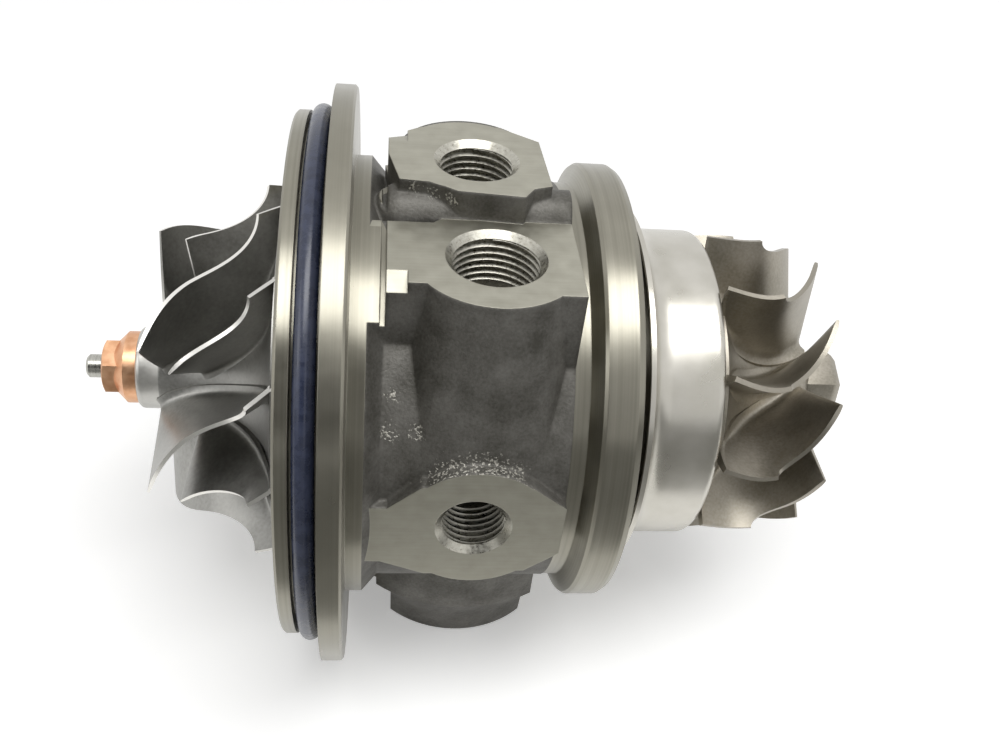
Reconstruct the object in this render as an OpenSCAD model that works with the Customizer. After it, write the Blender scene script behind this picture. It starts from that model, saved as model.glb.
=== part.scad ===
// Turbocharger cartridge: a bearing housing with its complete rotor, ready to
// take a compressor cover on the left and a turbine housing on the right.
// X runs along the shaft towards the turbine and Z points up. X = 0 is the
// compressor-side face of the large flange, and the drain faces down.

/* [Compressor flange] */
// Diameter of the large flange
flange_d = 124; // [120:0.5:128]
// Thickness of the large flange
flange_t = 4.4; // [3.8:0.1:5]
// Diameter of the pilot disc that enters the compressor cover
disc_d = 112.8; // [111:0.2:114]
// Thickness of the pilot disc
disc_t = 2.8; // [2.4:0.1:3.4]
// Width of the seal groove between disc and flange
groove_w = 5.2; // [4.8:0.1:6]
// Thickness of the cover seal's rubber cord
cord_d = 4; // [3.4:0.1:4.4]

/* [Housing barrel] */
// Diameter of the turned spigot behind the flange
spigot_d = 95.2; // [93:0.2:97]
// Width of that spigot where a boss crosses it
spigot_w = 5.5; // [5:0.1:6]
// Diameter to which the bosses are turned beside the spigot
shoulder_d = 106; // [104:0.2:108]
// Width of that turned shoulder
shoulder_w = 3.8; // [3.2:0.1:4.4]
// Diameter of the cast barrel
barrel_d = 88; // [86:0.5:91]
// Diameter of the turned neck beside the clamp rim
neck_d = 87.6; // [85:0.2:88]

/* [Turbine flange] */
// Distance from the large flange's face to the clamp rim
rim_x = 51.5; // [50:0.1:53]
// Diameter of the clamp rim
rim_d = 96.4; // [94:0.2:99]
// Width of the clamp rim
rim_w = 7.5; // [6.8:0.1:8.2]
// Length of the cone that leads up to the rim
rim_cone = 2; // [1.6:0.1:2.6]
// Diameter of the step between the rim and the heat shield
step_d = 71; // [70:0.5:72.5]
// Length of that step
step_l = 3.3; // [2.8:0.1:3.9]

/* [Ports] */
// Thread diameter of the oil inlet
inlet_d = 16; // [14:1:17]
// Height of the oil inlet's pad above the shaft
inlet_z = 52; // [51:0.2:53]
// Sideways place of the oil inlet
inlet_y = 4.2; // [3.4:0.1:5]
// Thread diameter of the upper coolant port
upper_d = 18; // [16:1:20]
// Height of the upper coolant port's pad above the shaft
upper_z = 46; // [45.4:0.2:47]
// Sideways place of the upper coolant port
upper_y = -21.1; // [-22:0.1:-20.4]
// Thread diameter of the side coolant port
side_d = 14; // [12:1:16]
// Distance of the side coolant port's pad from the shaft
side_y = 45.9; // [45.4:0.1:46.8]
// Distance from the flange's face to the ports
ports_x = 29; // [28:0.1:30]
// Depth of the threaded stretch of a port
port_l = 13; // [11:0.5:15]

/* [Oil drain] */
// Height of the shaft above the drain face
drain_z = 62; // [61:0.2:64]
// Diameter of the round drain boss at its face
drain_boss_d = 47.6; // [46:0.2:50]
// Diameter of the drain hole
drain_d = 22; // [18:0.5:23]
// Distance between the two drain bolts
bolt_gap = 34; // [33:0.5:35]
// Hole diameter of the drain bolts before tapping
bolt_d = 6.8; // [5:0.2:7.2]

/* [Shaft and bearings] */
// Diameter of the stub that carries the compressor wheel
stub_d = 7; // [6.6:0.1:7.4]
// Diameter of the stub's thread
thread_d = 6; // [5.6:0.1:6.2]
// Diameter of the plain tip
tip_d = 5.1; // [4.5:0.1:5.4]
// Diameter of the shaft in its bearings
journal_d = 10; // [9.6:0.1:10.4]
// Diameter of the seal boss beside the turbine wheel
seal_boss_d = 18; // [17:0.2:19]
// Outside diameter of the journal bearings
bush_d = 16; // [15.4:0.1:16.6]
// Length of a journal bearing
bush_l = 10.4; // [9:0.1:11]
// Radial oil film between shaft and bearing
film_in = 0.03; // [0.02:0.01:0.05]
// Radial oil film between bearing and housing
film_out = 0.05; // [0.03:0.01:0.08]

/* [Thrust bearing] */
// Distance from the flange's face to the thrust bearing's seat
thrust_x = 8; // [7.6:0.1:8.4]
// Diameter of the thrust bearing
thrust_d = 46; // [44:0.5:47]
// Thickness of the thrust bearing
thrust_t = 3.5; // [3:0.1:3.8]
// Diameter of the two running faces
collar_d = 19; // [18:0.2:20]
// Thickness of the loose thrust collar
collar_t = 3; // [2.6:0.1:3.4]
// Oil film on each side of the thrust bearing
thrust_play = 0.05; // [0.03:0.01:0.08]

/* [Seal plate] */
// Diameter of the seal plate
plate_d = 56; // [55:0.2:58]
// Distance of the plate's seat in front of the flange's face
plate_seat = 1; // [0.6:0.1:1.2]
// Thickness of the plate's rim
plate_t = 5.2; // [4.9:0.1:5.4]
// Diameter of the sleeve that turns in the plate
sleeve_d = 13; // [12.4:0.1:13.6]
// Thickness of the plate's seal cord
plate_cord_d = 1.7; // [1.5:0.1:1.9]
// Clearance round the turning sleeve and seal boss
seal_gap = 0.3; // [0.25:0.05:0.4]

/* [Heat shield] */
// Outside diameter of the heat shield's cup
shield_d = 69; // [68:0.2:69.8]
// Diameter of the heat shield's brim
brim_d = 78.6; // [77:0.2:80]
// Distance from the brim to the cup's end
shield_l = 16.9; // [16:0.1:17.6]
// Sheet thickness of the heat shield
sheet_t = 1; // [0.8:0.1:1.2]
// Outside bend radius of the sheet
bend_r = 1.8; // [1.5:0.1:2.2]

/* [Compressor wheel] */
// Outside diameter of the compressor wheel
comp_d = 80.4; // [78:0.2:82]
// Diameter of the wheel at its inlet
inducer_d = 62; // [60:0.2:63]
// Diameter of the wheel's nose
nose_d = 17.8; // [17.2:0.2:18.4]
// Length of the wheel from nose to back face
comp_l = 32.4; // [31.4:0.2:33.4]
// Length of the bladed part
blade_l = 26.9; // [26.4:0.1:27.4]
// Width of the blades at the outer rim
exit_w = 4.5; // [4:0.1:5]
// Number of full blades, with one splitter between each pair
comp_blades = 6; // [5:1:7]
// Blade thickness at the hub
comp_root_t = 2; // [1.6:0.1:2.2]
// Blade thickness at the tip
comp_tip_t = 0.8; // [0.7:0.1:1]
// Clearance between the wheel's back and the housing
comp_gap = 0.5; // [0.4:0.1:0.8]

/* [Turbine wheel] */
// Outside diameter of the turbine wheel
turb_d = 69.2; // [67:0.2:71]
// Diameter of the wheel at its outlet
exducer_d = 62.8; // [61:0.2:64]
// Length of the blades along the shaft
turb_blade_l = 23.8; // [23:0.2:24.6]
// Width of the blades at the inlet
inlet_w = 11.7; // [11:0.1:12.4]
// Length of the nose beyond the blades
turb_nose_l = 10.8; // [10:0.2:12]
// Size across the flats of that nose
turb_nose_af = 15; // [14:0.2:16]
// Number of turbine blades
turb_blades = 11; // [9:1:12]
// Blade thickness at the hub
turb_root_t = 3; // [2.4:0.1:3.2]
// Blade thickness at the tip
turb_tip_t = 1; // [0.9:0.1:1.4]
// Clearance between the wheel's back and the heat shield
turb_gap = 0.8; // [0.7:0.05:1.2]

/* [Shaft nut] */
// Size of the nut across its flats
nut_af = 11.05; // [10.6:0.05:11.6]
// Height of the nut's hexagon
nut_h = 4.9; // [4.4:0.1:5.4]
// Diameter of the nut's flange
nut_flange_d = 15.6; // [15:0.2:16.4]
// Thickness of the nut's flange
nut_flange_t = 2.6; // [2.2:0.1:3]
// Length of shaft that stands out of the nut
tip_l = 3.9; // [3.2:0.1:4.6]

/* [Hidden] */
$fn = 96;
// Overshoot of a cut
over = 1;
// Radial slip fit of pieces stacked on the shaft
slip = 0.02;
// Small clearance between pieces that do not move
seat = 0.05;

// Places along the shaft on the outside of the housing
disc_x = -groove_w - disc_t;
spigot_end = flange_t + spigot_w;
relief_end = spigot_end + 1;
shoulder_end = relief_end + shoulder_w;
barrel_x = flange_t + 3.4;
neck_x = rim_x - rim_cone - 3;
rim_end = rim_x + rim_w;
shield_x = rim_end + step_l;
shield_end = shield_x + shield_l;
bell_r = (brim_d - shield_d) / 2;
bell_end = sheet_t + bell_r;
shield_seat_r = shield_d / 2 - sheet_t;
shield_seat_end = shield_x + bell_end + 2.7;
housing_nose_end = shield_end - sheet_t - 1;
housing_nose_r = seal_boss_d / 2 + 7;
edge = 0.5;

// Centres of the ports and of the drain
inlet_x = ports_x - 0.7;
upper_x = ports_x + 2;
drain_x = ports_x + 1.5;
// Round parts of the two coolant pads
upper_pad_r = upper_d / 2 + 6.8;
side_pad_r = side_d / 2 + 8.1;
// Depth of the oil sump below the shaft
sump_z = 30;

// Places along the shaft inside the housing
plate_x = -plate_seat;
plate_face = plate_x - plate_t;
snap_t = 1;
snap_depth = 0.95;
plate_snap_t = 1.3;
thrust_face = thrust_x - thrust_t;
deflector_t = 1;
shoulder_x = thrust_x + thrust_play + collar_t;
chamber_end = shoulder_x + 1.5;
chamber_r = collar_d / 2 + 4;
ring_play = 0.1;
outer_ring_x = chamber_end + 1.1;
comp_bush_x = outer_ring_x + snap_t + ring_play;
comp_ring_x = comp_bush_x + bush_l + ring_play;
gallery_x = comp_ring_x + snap_t + 1.8;
turb_chamber_x = shield_x - 1.3;
end_ring_x = turb_chamber_x - 2.7;
turb_bush_x = end_ring_x - ring_play - bush_l;
turb_ring_x = turb_bush_x - ring_play - snap_t;
gallery_end = turb_ring_x - 1.8;
turb_chamber_end = turb_chamber_x + 5;
turb_chamber_r = seal_boss_d / 2 + 4;
seal_boss_x = turb_chamber_x + 0.5;
bush_bore_r = bush_d / 2 + film_out;
seal_ring_t = 1.4;
turb_seal_x = turb_chamber_end + 4;
comp_seal_x = plate_face + 0.9;
comp_seal_bore = sleeve_d / 2 + seal_gap;
turb_seal_bore = seal_boss_d / 2 + seal_gap;
// Pins that keep the thrust bearing from turning
pin_y = thrust_d / 2 - 4.5;
pin_d = 3;
pin_l = 7;

// Places along the shaft on the rotor
comp_back = disc_x - comp_gap;
comp_front = comp_back - comp_l;
comp_inlet_x = comp_back - blade_l;
nut_back = comp_front - nut_flange_t;
nut_end = nut_back - nut_h;
turb_back = shield_end + turb_gap;
turb_inlet_x = turb_back + 0.7;
turb_exit_x = turb_inlet_x + turb_blade_l;
turb_end = turb_exit_x + turb_nose_l;
// Angle at which the nut and the turbine's nose stand
hex_turn = 50;

// Turns a shape made along Z so that it lies along the shaft.
module along_x() {
    rotate([0, 90, 0]) children();
}

// A solid of revolution about the shaft from [radius, place] points.
module turned(points) {
    along_x() rotate_extrude() polygon(points);
}

// A plain round bar about the shaft, from one place to another.
module bar(x0, x1, r) {
    along_x() translate([0, 0, x0]) cylinder(h = x1 - x0, r = r);
}

// A round tube about the shaft.
module tube(x0, x1, r_out, r_in) {
    difference() {
        bar(x0, x1, r_out);
        bar(x0 - over, x1 + over, r_in);
    }
}

// A round cord bent into a ring about the shaft.
module cord_ring(x, r, d) {
    along_x() translate([0, 0, x]) rotate_extrude() translate([r, 0]) circle(d = d, $fn = 48);
}

// A flat ring with a gap at the top, as a snap ring or seal ring has.
module split_ring(x0, x1, r_out, r_in, gap) {
    difference() {
        tube(x0, x1, r_out, r_in);
        translate([x0 - over, -gap / 2, 0]) cube([x1 - x0 + 2 * over, gap, r_out + over]);
    }
}

// The core of the housing, without its bosses and before its spigot is turned.
module housing_core() {
    flange_r = flange_d / 2;
    disc_r = disc_d / 2;
    groove_r = disc_r - 2.6;
    raw_r = spigot_d / 2 + 1;
    barrel_r = barrel_d / 2;
    neck_r = neck_d / 2;
    rim_r = rim_d / 2;
    rim_slope = 1.25;
    rim_drop = 0.75;
    turned([
        [0, disc_x], [disc_r - edge, disc_x], [disc_r, disc_x + edge],
        [disc_r, -groove_w], [groove_r, -groove_w], [groove_r, 0],
        [flange_r, 0], [flange_r, flange_t - edge], [flange_r - edge, flange_t],
        [raw_r, flange_t], [raw_r, barrel_x - 1],
        [barrel_r, barrel_x + 3], [barrel_r, neck_x],
        [neck_r, neck_x], [neck_r, rim_x - rim_cone],
        [rim_r - edge, rim_x - 0.2], [rim_r, rim_x + edge],
        [rim_r, rim_end - rim_slope], [rim_r - rim_drop, rim_end],
        [step_d / 2, rim_end], [step_d / 2, shield_x],
        [shield_seat_r, shield_x], [shield_seat_r, shield_seat_end],
        [housing_nose_r, shield_seat_end], [housing_nose_r, housing_nose_end],
        [0, housing_nose_end]
    ]);
}

// Outline of the oil inlet's pad, seen from above.
module inlet_outline() {
    back_r = inlet_d / 2 + 5.8;
    translate([inlet_x - 1.8, inlet_y + 2]) circle(r = back_r);
    translate([ports_x, inlet_y]) polygon([
        [-18.6, 8], [-18, 0.6], [-16, -8.8], [-9.6, -9.5], [-5, -12.4], [7.8, -13.6],
        [9.8, -10.4], [13.4, -9.1], [12.5, 8.7], [4.4, 14.3], [-11.5, 12.8], [-14.4, 10.8]
    ]);
}

// Outline of the upper coolant port's pad, seen from above.
module upper_outline() {
    wall_y = inlet_y - 12.4;
    difference() {
        union() {
            translate([upper_x, upper_y]) circle(r = upper_pad_r);
            translate([0, upper_y - 9]) square([ports_x, 20]);
            translate([ports_x, upper_y - 11.5]) square([neck_x - ports_x, 25]);
        }
        translate([0, wall_y]) square(flange_d);
    }
}

// Outline of the side coolant port's pad, seen from the side.
module side_outline() {
    translate([ports_x + 0.4, -0.4]) circle(r = side_pad_r);
    translate([ports_x, 0]) polygon([
        [-ports_x, 5.3], [-16.8, 5.3], [-10.4, 11], [10.6, 11], [neck_x - ports_x, 5.6],
        [neck_x - ports_x, -7.2], [11, -12.4], [-9, -13.4], [-17.8, -9.8], [-ports_x, -9.8]
    ]);
}

// The cast form that runs from the upper pad down to the side pad.
module cast_elbow() {
    lip = 1.4;
    ledge = 2.6;
    hull() {
        translate([upper_x, upper_y, upper_z - lip - 1])
            cylinder(h = 1, r = upper_pad_r - 0.6, $fn = 32);
        translate([ports_x + 0.4, ledge + 1 - side_y, 0]) rotate([90, 0, 0])
            cylinder(h = 1, r = side_pad_r - 0.6, $fn = 32);
    }
}

// The rounded cast web between the two upper pads.
module cast_web() {
    r = 6;
    translate([barrel_x + r, inlet_y - 7.4, inlet_z - r - 2.5]) {
        sphere(r = r);
        along_x() cylinder(h = neck_x, r = r);
    }
}

// The cast bosses between the flange and the neck, before they are turned.
module bosses() {
    reach = flange_d;
    step = 1.9;
    drain_r = drain_boss_d / 2;
    intersection() {
        union() {
            linear_extrude(inlet_z) inlet_outline();
            translate([inlet_x - 1.5, inlet_y + 6.2, 0])
                cylinder(h = inlet_z - step, r = inlet_d / 2 + 6);
            linear_extrude(upper_z) upper_outline();
            rotate([90, 0, 0]) linear_extrude(side_y) side_outline();
            cast_elbow();
            cast_web();
            translate([drain_x, 0, -drain_z]) rotate_extrude() polygon([
                [0, 0], [drain_r - 0.8, 0], [drain_r, 0.8], [drain_r + 1, 8], [drain_r + 3, 13],
                [drain_r + 6, 17], [drain_r + 8.4, 20], [drain_r + 8.4, drain_z], [0, drain_z]
            ]);
        }
        translate([flange_t, -reach, -reach]) cube([neck_x - flange_t, 2 * reach, 2 * reach]);
    }
}

// What the lathe takes off behind the flange: spigot, relief and shoulder.
module turning_cut() {
    far_r = flange_d;
    spigot_r = spigot_d / 2;
    relief_r = spigot_r - 0.6;
    turned([
        [spigot_r, flange_t], [far_r, flange_t], [far_r, shoulder_end],
        [shoulder_d / 2, shoulder_end], [shoulder_d / 2, relief_end],
        [relief_r, relief_end], [relief_r, spigot_end], [spigot_r, spigot_end]
    ]);
}

// A port cut straight down from the origin: chamfer, thread and tapping drill.
module port_cut(d) {
    chamfer = 0.5;
    translate([0, 0, -port_l]) cylinder(h = port_l + over, d = d);
    translate([0, 0, -chamfer]) cylinder(h = chamfer + over, r1 = d / 2, r2 = d / 2 + chamfer + over);
    translate([0, 0, -port_l - 2]) cylinder(h = 2 + over, d1 = d - 5, d2 = d - 1.5);
}

// A drilling between two points.
module drilling(from, to, d) {
    way = to - from;
    reach = norm(way);
    translate(from)
        rotate([0, acos(way.z / reach), atan2(way.y, way.x)])
            cylinder(h = reach, d = d, $fn = 48);
}

// The oil ways, from the inlet to the bearings and down to the drain.
module oil_ways() {
    inlet = [inlet_x, inlet_y, inlet_z - port_l - 1];
    gallery = [inlet_x, 0, bush_d / 2 + 16];
    feed_d = 4;
    translate(gallery) sphere(d = 8);
    drilling(inlet, gallery, 6);
    drilling(gallery, [comp_bush_x + bush_l / 2, 0, 0], feed_d);
    drilling(gallery, [turb_bush_x + bush_l / 2, 0, 0], feed_d);
    translate([drain_x, 0, -drain_z - over]) cylinder(h = drain_z - sump_z + 4 + over, d = drain_d);
    sump_top = bush_d / 2 + 3;
    sump_w = 18;
    sump_x = thrust_x - 4;
    translate([sump_x, -sump_w / 2, -sump_z])
        cube([turb_chamber_end - 1 - sump_x, sump_w, sump_z - sump_top]);
    bolt_l = 14;
    for (side = [-1, 1])
        translate([drain_x, side * bolt_gap / 2, -drain_z - over])
            cylinder(h = bolt_l + over, d = bolt_d);
}

// The coolant jacket round the turbine end, with its two drilled ways.
module coolant_ways() {
    jacket_x = 40;
    jacket_end = 53;
    jacket_in = 24;
    jacket_out = 35;
    way_d = 8;
    difference() {
        tube(jacket_x, jacket_end, jacket_out, jacket_in);
        translate([jacket_x - over, -50, -70]) cube([20, 100, 50]);
    }
    upper = [upper_x, upper_y, upper_z - port_l - 1];
    side = [ports_x, -side_y + port_l + 1, 0];
    drilling(upper, [jacket_x + 5, -19, 22], way_d);
    drilling(side, [jacket_x + 5, -29, 0], way_d);
}

// The stepped bore that holds the bearings and seals.
module housing_bore() {
    plate_r = plate_d / 2;
    turned([
        [0, disc_x - over], [plate_r, disc_x - over],
        [plate_r, plate_x], [thrust_d / 2 + seat, plate_x],
        [thrust_d / 2 + seat, thrust_x], [chamber_r, thrust_x],
        [chamber_r, chamber_end], [bush_bore_r, chamber_end],
        [bush_bore_r, gallery_x], [turb_chamber_r, gallery_x],
        [turb_chamber_r, gallery_end], [bush_bore_r, gallery_end],
        [bush_bore_r, turb_chamber_x], [turb_chamber_r, turb_chamber_x],
        [turb_chamber_r, turb_chamber_end], [turb_seal_bore, turb_chamber_end],
        [turb_seal_bore, housing_nose_end + over], [0, housing_nose_end + over]
    ]);
    groove_r = bush_bore_r + snap_depth;
    for (x = [outer_ring_x, comp_ring_x, turb_ring_x, end_ring_x])
        bar(x - seat, x + snap_t + seat, groove_r);
    bar(plate_face - plate_snap_t - seat, plate_face, plate_r + 1.5);
}

module bearing_housing() {
    color("dimgray")
    difference() {
        union() {
            housing_core();
            bosses();
        }
        turning_cut();
        housing_bore();
        oil_ways();
        coolant_ways();
        translate([inlet_x, inlet_y, inlet_z]) port_cut(inlet_d);
        translate([upper_x, upper_y, upper_z]) port_cut(upper_d);
        translate([ports_x, -side_y, 0]) rotate([90, 0, 0]) port_cut(side_d);
        pin_holes();
    }
}

// Two blind holes for the thrust bearing's pins.
module pin_holes() {
    for (side = [-1, 1])
        translate([0, side * pin_y, 0]) bar(thrust_x - over, thrust_x + pin_l / 2, pin_d / 2 + slip);
}

module flange_o_ring() {
    groove_r = disc_d / 2 - 2.6;
    color("midnightblue") cord_ring(-groove_w / 2, groove_r + cord_d / 2 + seat, cord_d);
}

// The plate closes the compressor end and carries the small seal's bore.
module seal_plate() {
    cord_r = plate_d / 2 - slip - plate_cord_d;
    cord_x = (plate_face + plate_x) / 2;
    hub_r = thrust_d / 2 - 0.2;
    back = thrust_face - deflector_t;
    cup_r = collar_d / 2 + 1;
    cup_x = plate_x - 0.4;
    color("silver")
    difference() {
        turned([
            [comp_seal_bore, plate_face], [plate_d / 2 - slip, plate_face],
            [plate_d / 2 - slip, plate_x], [hub_r, plate_x], [hub_r, back],
            [cup_r, back], [cup_r, cup_x], [comp_seal_bore, cup_x]
        ]);
        tube(cord_x - plate_cord_d * 0.7, cord_x + plate_cord_d * 0.7, plate_d, cord_r - slip);
        translate([0, -7.5, -plate_d]) cube([plate_d, 15, plate_d - chamber_r + 2]);
    }
}

module seal_plate_o_ring() {
    cord_x = (plate_face + plate_x) / 2;
    color("black") cord_ring(cord_x, plate_d / 2 - slip - plate_cord_d / 2, plate_cord_d - slip);
}

module seal_plate_snap_ring() {
    color("gray")
    split_ring(plate_face - plate_snap_t, plate_face, plate_d / 2 + 1.4, plate_d / 2 - 1.6, 9);
}

// A pressed sheet that keeps oil off the small seal and leads it to the drain.
module oil_deflector() {
    open_r = collar_d / 2 + 0.8;
    tongue_z = chamber_r - 0.8;
    tongue_w = 12;
    tongue_l = thrust_t + 4;
    x0 = thrust_face - deflector_t;
    color("lightgray")
    union() {
        tube(x0, thrust_face, thrust_d / 2 - 0.2, open_r);
        translate([x0, -tongue_w / 2, -tongue_z - deflector_t]) cube([tongue_l, tongue_w, deflector_t]);
    }
}

// A bronze plate with a drain notch, held from turning by two pins.
module thrust_bearing() {
    hub_r = stub_d / 2 + 1.45;
    notch_w = 14;
    notch_z = chamber_r - 2;
    pocket = 0.3;
    color("peru")
    difference() {
        tube(thrust_face, thrust_x, thrust_d / 2, hub_r + film_out);
        translate([thrust_face - over, -notch_w / 2, -thrust_d])
            cube([thrust_t + 2 * over, notch_w, thrust_d - notch_z]);
        for (side = [-1, 1])
            translate([0, side * pin_y, 0]) bar(thrust_face - over, thrust_x + over, pin_d / 2 + slip);
        for (turn = [30, 90, 150, 210, 330])
            rotate([turn, 0, 0]) translate([thrust_face - over, hub_r, -0.6])
                cube([over + pocket, collar_d / 2 - hub_r - 1, 1.2]);
    }
}

module thrust_bearing_pins() {
    color("gray")
    for (side = [-1, 1])
        translate([0, side * pin_y, 0]) bar(thrust_x - pin_l / 2, thrust_x + pin_l / 2, pin_d / 2);
}

module compressor_seal_ring() {
    color("slategray")
    split_ring(comp_seal_x, comp_seal_x + seal_ring_t, comp_seal_bore - slip, comp_seal_bore - 1.2, 0.6);
}

module turbine_seal_ring() {
    color("slategray")
    split_ring(turb_seal_x, turb_seal_x + seal_ring_t, turb_seal_bore - slip, turb_seal_bore - 1.4, 0.6);
}

// One snap ring in its groove beside a journal bearing.
module bearing_ring(x) {
    split_ring(x, x + snap_t, bush_bore_r + snap_depth - seat, bush_bore_r - 1.4, 5);
}

module compressor_bearing_rings() {
    color("gray") {
        bearing_ring(outer_ring_x);
        bearing_ring(comp_ring_x);
    }
}

module turbine_bearing_rings() {
    color("gray") {
        bearing_ring(turb_ring_x);
        bearing_ring(end_ring_x);
    }
}

// A full-floating bush with a feed groove and six oil holes.
module floating_bush(x) {
    hole_d = 2;
    middle = x + bush_l / 2;
    difference() {
        tube(x, x + bush_l, bush_d / 2, journal_d / 2 + film_in);
        tube(middle - hole_d, middle + hole_d, bush_d, bush_d / 2 - 0.4);
        for (turn = [0 : 60 : 300])
            rotate([turn, 0, 0]) translate([middle, 0, 0]) cylinder(h = bush_d, d = hole_d, $fn = 24);
    }
}

module compressor_journal_bearing() {
    color("goldenrod") floating_bush(comp_bush_x);
}

module turbine_journal_bearing() {
    color("goldenrod") floating_bush(turb_bush_x);
}

// A pressed cup with a bell-shaped brim. The cup grips the housing's turned seat.
module heat_shield() {
    cup_r = shield_d / 2;
    brim_r = brim_d / 2;
    hole_r = seal_boss_d / 2 + 3;
    in_r = bend_r - sheet_t;
    color("gainsboro")
    along_x() rotate_extrude() translate([0, shield_x]) difference() {
        union() {
            translate([hole_r, 0]) square([brim_r - hole_r, bell_end]);
            polygon([
                [hole_r, 0], [cup_r, 0], [cup_r, shield_l - bend_r],
                [cup_r - bend_r, shield_l], [hole_r, shield_l]
            ]);
            translate([cup_r - bend_r, shield_l - bend_r]) circle(r = bend_r);
        }
        translate([brim_r, bell_end]) circle(r = bell_r);
        difference() {
            translate([0, -over]) square([brim_r + over, bell_end + over]);
            translate([brim_r, bell_end]) circle(r = bell_r + sheet_t);
        }
        polygon([
            [0, bell_end - over], [cup_r - sheet_t, bell_end - over],
            [cup_r - sheet_t, shield_l - bend_r], [cup_r - bend_r, shield_l - sheet_t],
            [0, shield_l - sheet_t]
        ]);
        translate([cup_r - bend_r, shield_l - bend_r]) circle(r = in_r);
        translate([-over, -over]) square([hole_r + over, shield_l + 2 * over]);
    }
}

// The shaft is one turned piece, from its plain tip to the seal boss.
module shaft() {
    tip_x = nut_end - tip_l;
    journal_r = journal_d / 2;
    waist_r = journal_r - 0.5;
    boss_r = seal_boss_d / 2;
    ring_r = turb_seal_bore - 1.8;
    x0 = turb_seal_x - ring_play;
    x1 = turb_seal_x + seal_ring_t + ring_play;
    color("lightsteelblue")
    turned([
        [0, tip_x], [tip_d / 2 - edge, tip_x], [tip_d / 2, tip_x + edge],
        [tip_d / 2, nut_end - 0.5], [thread_d / 2, nut_end - 0.2],
        [thread_d / 2, comp_front + 1], [stub_d / 2, comp_front + 1.5],
        [stub_d / 2, shoulder_x], [journal_r, shoulder_x],
        [journal_r, gallery_x], [waist_r, gallery_x + 1],
        [waist_r, gallery_end - 1], [journal_r, gallery_end],
        [journal_r, seal_boss_x], [boss_r, seal_boss_x],
        [boss_r, x0], [ring_r, x0], [ring_r, x1], [boss_r, x1],
        [boss_r, turb_back], [0, turb_back]
    ]);
}

module thrust_collar() {
    color("lightgray")
    tube(thrust_x + thrust_play, shoulder_x, collar_d / 2, stub_d / 2 + slip);
}

// The sleeve carries the small seal ring and the outer running face.
module thrust_sleeve() {
    sleeve_r = sleeve_d / 2;
    hub_r = stub_d / 2 + 1.45;
    face = thrust_face - thrust_play;
    ring_r = comp_seal_bore - 1.6;
    x0 = comp_seal_x - ring_play;
    x1 = comp_seal_x + seal_ring_t + ring_play;
    color("lightgray")
    turned([
        [stub_d / 2 + slip, comp_back], [sleeve_r, comp_back],
        [sleeve_r, x0], [ring_r, x0], [ring_r, x1], [sleeve_r, x1],
        [sleeve_r, face - 2.6], [collar_d / 2, face - 2.6],
        [collar_d / 2, face], [hub_r, face],
        [hub_r, thrust_x + thrust_play], [stub_d / 2 + slip, thrust_x + thrust_play]
    ]);
}

// Blades of both wheels: a point at a place and radius, turned round the shaft
// from the near side towards the top.
function on_wheel(xr, turn) = [xr.x, -xr.y * cos(turn), xr.y * sin(turn)];
function mix(a, b, t) = a + (b - a) * t;
function unit(v) = v / norm(v);

// A thin blade from a grid of points over its middle surface. The grid runs
// along the flow first and from hub to tip second.
module blade(grid, thick) {
    n = len(grid) - 1;
    m = len(grid[0]) - 1;
    function along(i, j) = grid[min(i + 1, n)][j] - grid[max(i - 1, 0)][j];
    function across(i, j) = grid[i][min(j + 1, m)] - grid[i][max(j - 1, 0)];
    function face_normal(i, j) = unit(cross(along(i, j), across(i, j)));
    function skin(side) = [
        for (i = [0 : n]) for (j = [0 : m])
            grid[i][j] + side * thick[i][j] / 2 * face_normal(i, j)
    ];
    function at(side, i, j) = (side * (n + 1) + i) * (m + 1) + j;
    function quad(a, b, c, d) = [[a, b, c], [a, c, d]];
    faces = [
        for (i = [0 : n - 1]) for (j = [0 : m - 1]) each concat(
            quad(at(0, i, j), at(0, i, j + 1), at(0, i + 1, j + 1), at(0, i + 1, j)),
            quad(at(1, i, j), at(1, i + 1, j), at(1, i + 1, j + 1), at(1, i, j + 1))),
        for (i = [0 : n - 1]) each concat(
            quad(at(0, i, 0), at(0, i + 1, 0), at(1, i + 1, 0), at(1, i, 0)),
            quad(at(0, i, m), at(1, i, m), at(1, i + 1, m), at(0, i + 1, m))),
        for (j = [0 : m - 1]) each concat(
            quad(at(0, 0, j), at(1, 0, j), at(1, 0, j + 1), at(0, 0, j + 1)),
            quad(at(0, n, j), at(0, n, j + 1), at(1, n, j + 1), at(1, n, j)))
    ];
    polyhedron(points = concat(skin(1), skin(-1)), faces = faces, convexity = 6);
}

// Compressor: the hub sweeps from axial at the nose to radial at the rim, and
// the shroud line does the same further out. s runs from 0 at the inlet to 1.
comp_r = comp_d / 2;
rim_t = 1.3;
hub_in_r = nose_d / 2 + 0.3;
function comp_hub(s) = [
    comp_inlet_x + (blade_l - rim_t) * sin(90 * s),
    comp_r - (comp_r - hub_in_r) * cos(90 * s)
];
comp_bend_x = comp_inlet_x + 8.4;
comp_bend_l = comp_back - rim_t - exit_w - comp_bend_x;
comp_straight = 0.32;
function comp_shroud(s) = s < comp_straight
    ? [mix(comp_inlet_x, comp_bend_x, s / comp_straight), inducer_d / 2]
    : let (t = 90 * (s - comp_straight) / (1 - comp_straight))
        [comp_bend_x + comp_bend_l * sin(t), comp_r - (comp_r - inducer_d / 2) * cos(t)];
// How far the blade has turned at s: steep at the inlet, then nearly even.
function comp_tip_turn(s) = 28 * (1 - exp(-s / 0.2)) + 16.5 * s;
function comp_root_turn(s) = -4 + 33 * (1 - exp(-s / 0.2)) + 21 * s;
comp_start = 45.1;
comp_rows = 12;
comp_cols = 3;
root_depth = 0.12;

function comp_point(s, v) = on_wheel(
    mix(comp_hub(s), comp_shroud(s), v), mix(comp_root_turn(s), comp_tip_turn(s), v));

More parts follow.
